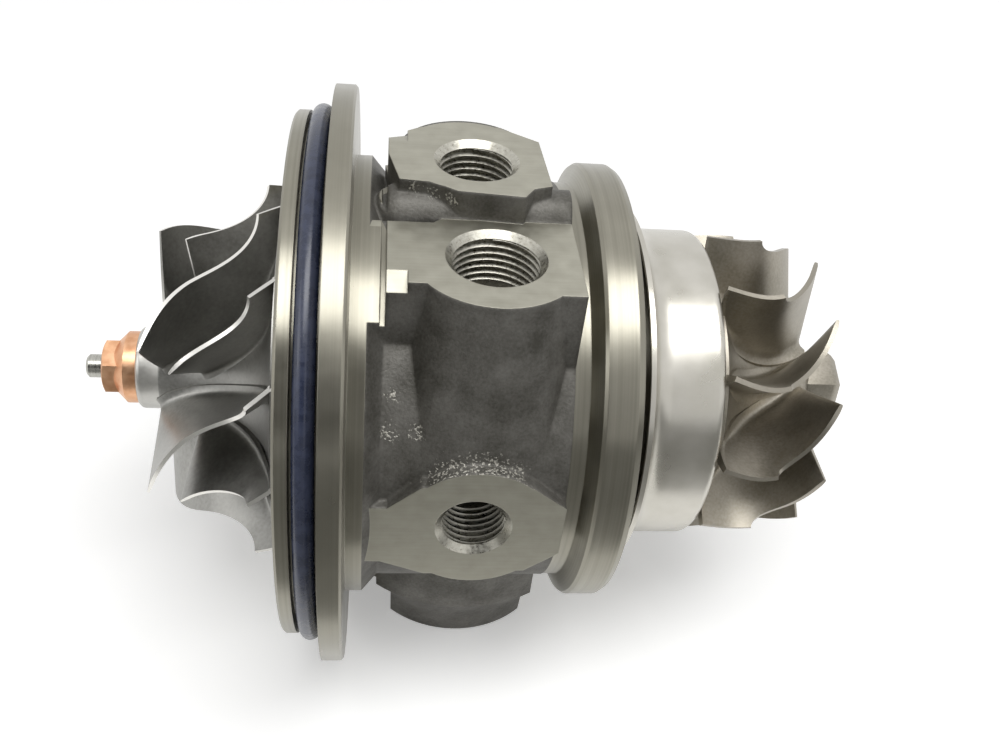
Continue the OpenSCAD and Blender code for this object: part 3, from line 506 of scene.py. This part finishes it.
# Aluminium plate, turned: pale with rings.
turned_plate = plain_metal("turned aluminium plate", "#b0b0ae", "#cfcfcd", 0.3, groove=0.3)
# Low carbon sheet, pressed: mid grey.
pressed_sheet = plain_metal("pressed steel sheet", "#828280", "#a0a09d", 0.36)
# Nitrile rubber, moulded: black and satin.
black_rubber, tree, shader, mm = finish("moulded black rubber", "#121212", Roughness=0.45)
wear(tree, shader, Base_Color=tint(tree, noise(tree, mm, 2, 5.0), "#0d0d0d", "#1c1c1d"))
print("made the plain metals")

# %% [markdown]
# The cord, the sheet, the nut and the shaft show, so they get merged copies with
# smooth shading. The pieces inside the housing keep their CAD objects and only
# change material, which is all they need.

# %% Dress the smaller pieces
for node, body, slot, material in (
        ("flange_o_ring", "housing", "blue_rubber", navy_rubber),
        ("heat_shield", "housing", "stainless_sheet", spun_stainless),
        ("shaft", "rotor", "ground_steel", ground_steel),
        ("shaft_nut", "rotor", "coppered_steel", copper_plate)):
    piece = smooth_copy(node, node + "_dressed")
    piece.data.materials.append(material)
    stand_in(piece, node, body)
for material, inner in (
        (turned_plate, ["seal_plate"]), (black_rubber, ["seal_plate_o_ring"]),
        (spring_steel, ["seal_plate_snap_ring", "compressor_bearing_rings", "turbine_bearing_rings",
                        "compressor_seal_ring", "turbine_seal_ring"]),
        (pressed_sheet, ["oil_deflector"]),
        (ground_steel, ["thrust_bearing_pins", "thrust_collar", "thrust_sleeve"]),
        (turned_bronze, ["thrust_bearing", "compressor_journal_bearing", "turbine_journal_bearing"])):
    for node in inner:
        nodes[node].data.materials.clear()
        nodes[node].data.materials.append(material)
    print(material.name, "on", len(inner), "inner nodes")

# %% [markdown]
# ## Wheel metals
# Both wheels are castings whose blade tips were turned afterwards. A face attribute
# named edge_cut, written with the blades, tells the material where the lathe has
# been. The compressor wheel is aluminium, cast in plaster and nearly smooth, and
# its thin edges shine while the faces stay dull. The turbine wheel is a nickel
# alloy, cast in a ceramic shell, browned and slightly grainy, and its edges have
# the colour of the faces.


# %% Cast wheel finishes
def wheel_metal(name, dark, light, edge, rough, grain, height):
    """A cast metal with a grain in mm and a bump height in mm, and turned edges."""
    material, tree, shader, mm = finish(name, light, Metallic=1.0, Roughness=rough)
    pores, cloud = noise(tree, mm, grain, 4.0), noise(tree, mm, 11, 3.0)
    tone = reckon(tree, "MULTIPLY_ADD", cloud, 0.6, reckon(tree, "MULTIPLY_ADD", pores, 0.4, 0.0))
    cut = add(tree, "ShaderNodeAttribute", attribute_name="edge_cut").outputs["Fac"]
    dull = spread(tree, tone, rough - 0.07, rough + 0.07)
    smooth = add(tree, "ShaderNodeMix", {0: cut, 2: dull, 3: 0.3})
    wear(tree, shader, Base_Color=mixed(tree, cut, tint(tree, tone, dark, light, 0.35, 0.65), linear(edge)),
         Roughness=smooth.outputs[0], Normal=bumps(tree, pores, height, 0.6))
    return material


# Aluminium, plaster cast: cool grey, satin, with bright turned edges.
cast_aluminium = wheel_metal("plaster cast aluminium", "#8a8985", "#a8a7a3", "#e6e4de", 0.4, 0.8, 0.01)
# Nickel alloy, shell cast: warm dark grey with a fine grain, its edges as dark as its faces.
nickel_alloy = wheel_metal("shell cast nickel alloy", "#8d887c", "#aca69b", "#989388", 0.43, 0.6, 0.015)
print("made", cast_aluminium.name, "and", nickel_alloy.name)

# %% [markdown]
# ## Blades by rule
# A blade is a sheet between two lines: one on the hub and one on the shroud, the
# wall it runs along. The letter s counts along the flow and v from hub to tip, and
# a turn round the shaft twists the sheet as s grows. These are the rules of the
# CAD source, sampled finely here. The sheet then gets its thickness on both sides,
# thin at the tip, with a fillet that flares into the hub. Bridging the two skins
# all round closes the blade.


# %% A blade from its rule
# How far the lathe's finish covers a blade's tip, a blade's ends and a turned hub.
TIP_CUT, END_CUT, HUB_CUT = 1, 0.6, 0.35


def mix(a, b, t):
    return a + (b - a) * t


def on_wheel(x, r, turn):
    """A point in metres at a place and radius in mm, turned from the near side to the top."""
    return Vector((x, -r * cos(radians(turn)), r * sin(radians(turn)))) * MM


def ease(x, low, high):
    """Rises smoothly from 0 at low to 1 at high."""
    t = min(1.0, max(0.0, (x - low) / (high - low)))
    return t * t * (3 - 2 * t)


def blade_mesh(name, point, span, steps, heights, thickness, fillet):
    """A closed blade. point(s, v) is its middle sheet, span(s) its height in mm.

    thickness(s, v) and fillet(s) are in mm too.
    """
    n, m = len(steps) - 1, len(heights) - 1
    sheet = [[point(s, v) for v in heights] for s in steps]
    verts, faces, cut = [], [], []
    for side in (0.5, -0.5):
        for i, s in enumerate(steps):
            for j, v in enumerate(heights):
                along = sheet[min(i + 1, n)][j] - sheet[max(i - 1, 0)][j]
                across = sheet[i][min(j + 1, m)] - sheet[i][max(j - 1, 0)]
                size = fillet(s)
                rise = max(0.0, size - max(0.0, v * span(s)))
                flare = size - sqrt(max(0.0, size ** 2 - rise ** 2))
                verts.append(sheet[i][j] + along.cross(across).normalized() * (
                    side * thickness(s, v) + (flare if side > 0 else -flare)) * MM)
    at = lambda skin, i, j: (skin * (n + 1) + i) * (m + 1) + j
    cells = [(i, j) for i in range(n) for j in range(m)]
    quads = [((0, i, j), (0, i + 1, j), (0, i + 1, j + 1), (0, i, j + 1), 0) for i, j in cells]
    quads += [((1, i, j), (1, i, j + 1), (1, i + 1, j + 1), (1, i + 1, j), 0) for i, j in cells]
    quads += [((0, i, m), (0, i + 1, m), (1, i + 1, m), (1, i, m), TIP_CUT) for i in range(n)]
    quads += [((0, i, 0), (1, i, 0), (1, i + 1, 0), (0, i + 1, 0), 0) for i in range(n)]
    quads += [((0, k, j), (0, k, j + 1), (1, k, j + 1), (1, k, j), END_CUT)
              for k in (0, n) for j in range(m)]
    for *corners, edge in quads:
        faces.append([at(*c) for c in corners])
        cut.append(edge)
    mesh = bpy.data.meshes.new(name)
    mesh.from_pydata(verts, [], faces)
    mesh.attributes.new("edge_cut", "FLOAT", "FACE").data.foreach_set("value", cut)
    face_outward(mesh)
    blade = bpy.data.objects.new(name, mesh)
    bpy.context.scene.collection.objects.link(blade)
    return blade


def evenly(count, low, high):
    return [mix(low, high, i / count) for i in range(count + 1)]


# %% [markdown]
# ## A hub and a ring of blades
# The hub is a profile spun round the shaft. A second Geometry Nodes tree sets the
# blades round it: points in one place, one blade on each, every blade turned a
# step further. The compressor wheel uses the tree twice, first for its long blades
# and then for the short splitters between them.


# %% Hub and ring tree
def hub_mesh(name, profile, turned_to, sides=144):
    """A spun hub from (x, r) points in mm that start and end on the shaft. The first points are turned."""
    rows = [[on_wheel(x, r, 360 * k / sides) for k in range(sides)] for x, r in profile[1:-1]]
    verts = [v for row in rows for v in row]
    ends = [len(verts), len(verts) + 1]
    verts += [on_wheel(profile[0][0], 0, 0), on_wheel(profile[-1][0], 0, 0)]
    faces, cut = [], []
    for i in range(len(rows) - 1):
        for k in range(sides):
            nxt = (k + 1) % sides
            faces.append([i * sides + k, i * sides + nxt, (i + 1) * sides + nxt, (i + 1) * sides + k])
            cut.append(HUB_CUT if i < turned_to else 0.0)
    last = (len(rows) - 1) * sides
    for k in range(sides):
        nxt = (k + 1) % sides
        faces += [[ends[0], nxt, k], [ends[1], last + k, last + nxt]]
        cut += [HUB_CUT, HUB_CUT]
    mesh = bpy.data.meshes.new(name)
    mesh.from_pydata(verts, [], faces)
    mesh.attributes.new("edge_cut", "FLOAT", "FACE").data.foreach_set("value", cut)
    face_outward(mesh)
    return mesh


ring_tree = bpy.data.node_groups.new("ring of blades", "GeometryNodeTree")
ring_tree.is_modifier = True
ring_keys = {name: socket(ring_tree, name, kind, value=value) for name, kind, value in (
    ("Geometry", "NodeSocketGeometry", None), ("Blade", "NodeSocketObject", None),
    ("Count", "NodeSocketInt", 6), ("First turn", "NodeSocketFloat", 0.0),
    ("Metal", "NodeSocketMaterial", None))}
socket(ring_tree, "Geometry", "NodeSocketGeometry", into=False)
given = add(ring_tree, "NodeGroupInput").outputs
points = add(ring_tree, "GeometryNodeMeshLine", {"Count": given["Count"], "Offset": (0, 0, 0)})
pitch = reckon(ring_tree, "DIVIDE", -2 * pi, given["Count"])
index = add(ring_tree, "GeometryNodeInputIndex")
step = reckon(ring_tree, "MULTIPLY", index.outputs[0], pitch)
angle = reckon(ring_tree, "SUBTRACT", step, given["First turn"])
euler = add(ring_tree, "ShaderNodeCombineXYZ", {"X": angle})
source = add(ring_tree, "GeometryNodeObjectInfo", {"Object": given["Blade"]})
ring = add(ring_tree, "GeometryNodeInstanceOnPoints", {
    "Points": points.outputs[0], "Instance": source.outputs["Geometry"], "Rotation": euler.outputs[0]})
joined = add(ring_tree, "GeometryNodeJoinGeometry", {0: given["Geometry"]})
ring_tree.links.new(ring.outputs[0], joined.inputs[0])
whole = add(ring_tree, "GeometryNodeRealizeInstances", {0: joined.outputs[0]})
faced = add(ring_tree, "GeometryNodeSetMaterial", {"Geometry": whole.outputs[0], "Material": given["Metal"]})
add(ring_tree, "NodeGroupOutput", {0: faced.outputs[0]})
print("ring tree has", len(ring_tree.nodes), "nodes")


# %% [markdown]
# ## The compressor wheel
# Air enters along the shaft and leaves outward, so hub and shroud both bend from
# axial to radial. The blades meet the air at a steep angle and straighten quickly,
# which an exponential gives. Six long blades alternate with six splitters that
# start further in.


# %% Compressor blades
COMP_IN, COMP_BACK, COMP_R, COMP_HUB_R, COMP_EYE_R = -35.4, -8.5, 40.2, 9.2, 31.0
# Length of the hub's curve. The shroud is straight up to a share of the flow, then bends.
COMP_HUB_L, COMP_STRAIGHT, COMP_BEND_X, COMP_BEND_L = 25.6, 0.32, -27.0, 12.7
# Degrees at the start, gained early and gained evenly, at the hub and at the tip.
COMP_HUB_TURN, COMP_TIP_TURN, COMP_EARLY = (-4, 33, 21), (0, 28, 16.5), 0.2
COMP_ROOT_T, COMP_TIP_T, COMP_THIN_S, COMP_EDGE_S = 2.0, 0.8, 0.6, 0.05
COMP_BLADES, LONG_TURN, SPLITTER_TURN, SPLITTER_START = 6, 45.1, 15.1, 0.222
BLADE_HEIGHTS = [-0.1, -0.04, 0.0, 0.02, 0.045, 0.075, 0.11, 0.16, 0.24, 0.34, 0.45, 0.56, 0.67, 0.78,
                 0.88, 0.95, 1.0]


def comp_hub(s):
    return (COMP_IN + COMP_HUB_L * sin(pi / 2 * s), COMP_R - (COMP_R - COMP_HUB_R) * cos(pi / 2 * s))


def comp_shroud(s):
    if s < COMP_STRAIGHT:
        return (mix(COMP_IN, COMP_BEND_X, s / COMP_STRAIGHT), COMP_EYE_R)
    t = pi / 2 * (s - COMP_STRAIGHT) / (1 - COMP_STRAIGHT)
    return (COMP_BEND_X + COMP_BEND_L * sin(t), COMP_R - (COMP_R - COMP_EYE_R) * cos(t))


def comp_point(s, v):
    inner, outer = comp_hub(s), comp_shroud(s)
    steep = 1 - exp(-s / COMP_EARLY)
    hub_turn, tip_turn = (first + early * steep + even * s
                          for first, early, even in (COMP_HUB_TURN, COMP_TIP_TURN))
    return on_wheel(mix(inner[0], outer[0], v), mix(inner[1], outer[1], v), mix(hub_turn, tip_turn, v))


def comp_span(s):
    return hypot(comp_shroud(s)[0] - comp_hub(s)[0], comp_shroud(s)[1] - comp_hub(s)[1])


def comp_thickness(start):
    """Thick at the root, thin at the tip and the rim, and rounded at the edge where the blade starts."""
    def thickness(s, v):
        thin = max(v, (s - COMP_THIN_S) / (1 - COMP_THIN_S))
        edge = min(1.0, 0.45 + sqrt(max(0.0, (s - start) / COMP_EDGE_S)) * 0.55)
        return mix(COMP_ROOT_T, COMP_TIP_T, thin) * edge
    return thickness


def comp_fillet(s):
    """The root's fillet fades out before the rim."""
    return 1.6 - 1.4 * ease(s, 0.7, 0.97)


blades = {}
for name, start in (("long_blade", 0.0), ("splitter", SPLITTER_START)):
    steps = [start, start + 0.006, start + 0.018, start + 0.035] + evenly(44, start + 0.055, 1.0)
    blades[name] = blade_mesh(name, comp_point, comp_span, steps, BLADE_HEIGHTS, comp_thickness(start),
                              comp_fillet)
print("compressor blade faces", [len(b.data.polygons) for b in blades.values()])

# %% [markdown]
# The hub's profile starts with the flat face under the nut and its rounded collar,
# follows the hub line of the blades and ends at the flat back. One run of the ring
# tree for each kind of blade then makes the whole wheel a single mesh.

# %% Compressor wheel
profile = [(-40.9, 0), (-40.9, 3.6), (-40.9, 7.9), (-40.75, 8.4), (-40.3, 8.8), (-39.7, 8.9), (-36.4, 8.9),
           (-35.9, COMP_HUB_R)]
profile += [comp_hub(s) for s in evenly(48, 0.0, 1.0)] + [(COMP_BACK, COMP_R), (COMP_BACK, 0)]
wheel = baked("compressor_wheel_cast", hub_mesh("compressor_hub", profile, 6), [
    (ring_tree, ring_keys, {"Blade": blades[name], "Count": COMP_BLADES, "First turn": radians(turn),
                            "Metal": cast_aluminium})
    for name, turn in (("long_blade", LONG_TURN), ("splitter", SPLITTER_TURN))])
for blade in blades.values():
    bpy.data.objects.remove(blade)
wheel.data.shade_smooth()
wheel.data.set_sharp_from_angle(angle=radians(40))
stand_in(wheel, "compressor_wheel", "rotor")

# %% [markdown]
# ## The turbine wheel
# Gas enters round the rim and leaves along the shaft, so the same idea runs the
# other way. The eleven blades sweep a little one way along their inlet edge and
# curl the other way towards the outlet. The disc behind them is smaller than the
# blade tips, and the nose ends in a hexagon for the spanner that holds the rotor.

# %% Turbine blades
TURB_BACK, TURB_IN, TURB_OUT, TURB_R, TURB_EYE_R, TURB_HUB_R = 80.0, 80.7, 104.5, 34.6, 31.4, 10.5
# Where the shroud's bend starts, its length, where it ends, and the share of the flow it takes.
TURB_BEND_X, TURB_BEND_L, TURB_EYE_X, TURB_STRAIGHT = 92.4, 6, 98.4, 0.5
# Degrees of sweep and curl, and the share of the flow over which the root sinks into the hub.
TURB_SWEEP, TURB_CURL, TURB_SINK_S = 14.7, 39.0, 0.3
TURB_ROOT_T, TURB_TIP_T, TURB_THICK_S, TURB_EDGE_S = 3.0, 1.0, 0.4, 0.06
TURB_BLADES, TURB_TURN, DISC_R = 11, 41.0, 27.0


def turb_hub(s):
    return (TURB_OUT - (TURB_OUT - TURB_IN) * cos(pi / 2 * s),
            TURB_R - (TURB_R - TURB_HUB_R) * sin(pi / 2 * s))


def turb_shroud(s):
    if s < TURB_STRAIGHT:
        return (TURB_BEND_X + TURB_BEND_L * (1 - cos(pi * s)), TURB_R - (TURB_R - TURB_EYE_R) * sin(pi * s))
    return (mix(TURB_EYE_X, TURB_OUT, (s - TURB_STRAIGHT) / (1 - TURB_STRAIGHT)), TURB_EYE_R)


def turb_point(s, v):
    inner, outer = turb_hub(s), turb_shroud(s)
    depth = v if v > 0 else v * min(1.0, max(0.05, s / TURB_SINK_S))
    x, r = mix(inner[0], outer[0], depth), mix(inner[1], outer[1], depth)
    t = (x - TURB_IN) / (TURB_OUT - TURB_IN)
    return on_wheel(x, r, TURB_CURL * t ** 3 - TURB_SWEEP * t)


def turb_span(s):
    return hypot(turb_shroud(s)[0] - turb_hub(s)[0], turb_shroud(s)[1] - turb_hub(s)[1])


def turb_thickness(s, v):
    """Thin along the inlet edge, thick at the hub further in, rounded at the outlet."""
    edge = min(1.0, 0.5 + sqrt(max(0.0, (1 - s) / TURB_EDGE_S)) * 0.5)
    return mix(TURB_TIP_T, mix(TURB_ROOT_T, TURB_TIP_T, v), min(1.0, s / TURB_THICK_S)) * edge


def turb_fillet(s):
    """The root's fillet starts where the blade has left the rim."""
    return 0.1 + 1.9 * ease(s, 0.2, 0.45)


turb_steps = evenly(34, 0.0, 0.94) + [0.962, 0.98, 0.993, 1.0]
turb_blade = blade_mesh("turbine_blade", turb_point, turb_span, turb_steps, BLADE_HEIGHTS, turb_thickness,
                        turb_fillet)
print("turbine blade faces", len(turb_blade.data.polygons))

# %% [markdown]
# The hub line meets the disc's rim at a share of the flow that has no neat formula,
# so a short search finds it. The hexagon is built ring by ring, narrowing at its
# end, and joins the hub's mesh before the blades are set.

# %% Turbine wheel
disc_s = 0.2
while turb_hub(disc_s)[1] > DISC_R + 0.1:
    disc_s += 0.001
profile = [(TURB_BACK, 0), (TURB_BACK, 9.0), (TURB_BACK, DISC_R)]
profile += [turb_hub(s) for s in evenly(40, disc_s, 1.0)]
profile += [(105.0, 10.4), (106.0, 9.4), (107.5, 7.6), (107.5, 0)]
hub = hub_mesh("turbine_hub", profile, 1)
nose = bmesh.new()
nose.from_mesh(hub)
HEX_R, HEX_IN, HEX_OUT, HEX_TURN = 15 / 2 / cos(pi / 6), 106.5, 115.3, 50
rows = []
for x, r in ((HEX_IN, HEX_R), (HEX_OUT - 2.5, HEX_R), (HEX_OUT - 1.2, HEX_R - 0.9), (HEX_OUT, HEX_R - 2.2)):
    turns = [radians(60 * k + HEX_TURN) for k in range(6)]
    rows.append([nose.verts.new(Vector((x, r * sin(a), -r * cos(a))) * MM) for a in turns])
for low, high in zip(rows, rows[1:]):
    for k in range(6):
        nose.faces.new((low[k], low[(k + 1) % 6], high[(k + 1) % 6], high[k]))
nose.faces.new(rows[-1])
nose.faces.new(rows[0][::-1])
bmesh.ops.recalc_face_normals(nose, faces=nose.faces)
nose.to_mesh(hub)
nose.free()
wheel = baked("turbine_wheel_cast", hub, [(ring_tree, ring_keys, {
    "Blade": turb_blade, "Count": TURB_BLADES, "First turn": radians(TURB_TURN), "Metal": nickel_alloy})])
bpy.data.objects.remove(turb_blade)
wheel.data.shade_smooth()
wheel.data.set_sharp_from_angle(angle=radians(40))
stand_in(wheel, "turbine_wheel", "rotor")

# %% [markdown]
# ## Camera
# The view is from 40 degrees above the shaft, a quarter of a metre away, a little
# to the left of the middle. The four angles below turn a camera that looks along
# the floor into that view.

# %% Camera
ELEVATION, YAW, ROLL, PITCH = radians(39.9), 0.1181, 0.0259, 0.0012
CAMERA_AT = Vector((9.346, -182.18, 152.31)) * MM
ahead = Vector((sin(YAW), cos(YAW), 0))
right = Vector((cos(YAW), -sin(YAW), 0))
up = Vector((0, 0, 1))
ahead, up = cos(PITCH) * ahead + sin(PITCH) * up, cos(PITCH) * up - sin(PITCH) * ahead
right, up = cos(ROLL) * right + sin(ROLL) * up, cos(ROLL) * up - sin(ROLL) * right
tilt = Matrix.Rotation(-ELEVATION, 3, "X")
axes = Matrix((tilt @ right, tilt @ up, -(tilt @ ahead))).transposed()
camera_data = bpy.data.cameras.new("camera")
camera_data.sensor_width = 36.0
camera_data.lens = 37.98
camera_data.clip_start = 0.01
camera = bpy.data.objects.new("camera", camera_data)
camera.matrix_world = Matrix.Translation(CAMERA_AT) @ axes.to_4x4()
bpy.context.scene.collection.objects.link(camera)
bpy.context.scene.camera = camera
print("camera at", [round(v, 4) for v in camera.location])

# %% [markdown]
# ## Floor and light
# The cartridge stands on white paper in a white room. The paper and the room are
# white to the camera and to reflections, while a lower share of that white lights
# the piece, so that the lamp's shadows stay.


# %% White paper
def seen_directly(tree):
    """1 for rays from the camera, in reflections and through glass, and otherwise 0."""
    rays = add(tree, "ShaderNodeLightPath").outputs
    seen = reckon(tree, "MAXIMUM", rays["Is Camera Ray"], rays["Is Glossy Ray"])
    return reckon(tree, "MAXIMUM", seen, rays["Is Transmission Ray"])


# The paper glows a little near the piece and more further out, where the softbox fades.
NEAR_GLOW, FAR_GLOW, NEAR_MM, FAR_MM = 0.34, 0.85, 250.0, 1500.0
PAPER_HALF, FLOOR = 6, DRAIN_Z * MM - 0.0001
paper, tree, shader, mm = finish("white paper", "#fafaf9", Roughness=0.9, Specular_IOR_Level=0.1)
away = add(tree, "ShaderNodeVectorMath", {0: mm}, operation="LENGTH").outputs["Value"]
glow = remap(tree, away, NEAR_MM, FAR_MM, NEAR_GLOW, FAR_GLOW)
shader.inputs["Emission Color"].default_value = linear("#ffffff")
wear(tree, shader, Emission_Strength=reckon(tree, "MULTIPLY", seen_directly(tree), glow))
sheet = bpy.data.meshes.new("paper")
sheet.from_pydata([(x * PAPER_HALF, y * PAPER_HALF, FLOOR) for x, y in ((-1, -1), (1, -1), (1, 1), (-1, 1))],
                  [], [(0, 1, 2, 3)])
sheet.materials.append(paper)
floor = bpy.data.objects.new("paper", sheet)
bpy.context.scene.collection.objects.link(floor)
print("paper at", round(FLOOR / MM, 1), "mm")


# %% [markdown]
# One broad softbox, high and slightly towards the camera, draws the long highlights
# along the turned surfaces, and a weak lamp at the left fills the shadows. A card in
# front, which only reflections see, is a painted reflection: pale at its near edge and
# darker further out, it paints the round metal's dark side. A dark flag behind the
# camera, also seen only in reflections, paints the same dark reflection on the disc and
# the flange.


# %% Softbox, fill and cards
def softbox(name, place, target, width, depth, watts):
    """A rectangular area lamp that faces a target, all in metres."""
    data = bpy.data.lights.new(name, "AREA")
    data.shape = "RECTANGLE"
    data.size, data.size_y, data.energy = width, depth, watts
    lamp = bpy.data.objects.new(name, data)
    lamp.location = place
    lamp.rotation_euler = (Vector(target) - Vector(place)).to_track_quat("-Z", "Y").to_euler()
    bpy.context.scene.collection.objects.link(lamp)


softbox("key", (0.11, -0.24, 0.85), (0.03, 0, 0), 0.88, 0.44, 6.1)
softbox("fill", (-0.75, -0.25, 0.45), (0, 0, 0), 0.4, 0.4, 0.9)


# Where the cards' shading starts and ends along Y, in mm.
CARD_FAR_Y, CARD_NEAR_Y = -190.0, -85.0


def card(name, colours, points, faces):
    """A painted reflection: a card seen only in reflections, shaded along Y from far to near colour."""
    material, tree, shader, mm = finish(name, colours[1], Roughness=0.9)
    reach = add(tree, "ShaderNodeSeparateXYZ", {0: mm})
    wear(tree, shader, Base_Color=tint(tree, reach.outputs["Y"], *colours, CARD_FAR_Y, CARD_NEAR_Y))
    mesh = bpy.data.meshes.new(name)
    mesh.from_pydata(points, [], faces)
    mesh.materials.append(material)
    piece = bpy.data.objects.new(name, mesh)
    bpy.context.scene.collection.objects.link(piece)
    piece.visible_camera = piece.visible_diffuse = piece.visible_shadow = False


# Painted reflection of a floor that darkens away from the piece, for the metal's dark side.
card("grey_card", ("#929290", "#b6b6b4"), [
    (-1.2, -0.085, -0.0618), (1.2, -0.085, -0.0618), (1.2, -0.16, -0.053), (-1.2, -0.16, -0.053),
    (1.6, -1.0, 0.16), (-1.6, -1.0, 0.16)], [(0, 1, 2, 3), (3, 2, 4, 5)])
# Painted dark reflection on the disc and the flange, below their highlights.
card("dark_flag", ("#5c5c5a", "#5c5c5a"), [
    (-0.7, -0.9, 0.2), (0.2, -0.9, 0.2), (0.2, -0.9, 1.3), (-0.7, -0.9, 1.3)], [(0, 1, 2, 3)])
print("lamps and cards set")

# %% [markdown]
# The room is a plain white background. As for the paper, only a quarter of it lights
# the piece. The Standard view keeps whites white and colours as they were picked.

# %% World
world = bpy.data.worlds.new("white room")
bpy.context.scene.world = world
world.use_nodes = True
tree = world.node_tree
tree.nodes.clear()
ROOM_LIGHT, ROOM_WHITE = 0.25, 1.0
level = remap(tree, seen_directly(tree), 0.0, 1.0, ROOM_LIGHT, ROOM_WHITE)
room = add(tree, "ShaderNodeBackground", {"Color": linear("#ffffff"), "Strength": level})
add(tree, "ShaderNodeOutputWorld", {0: room.outputs[0]})
bpy.context.scene.view_settings.view_transform = "Standard"
print("world set")
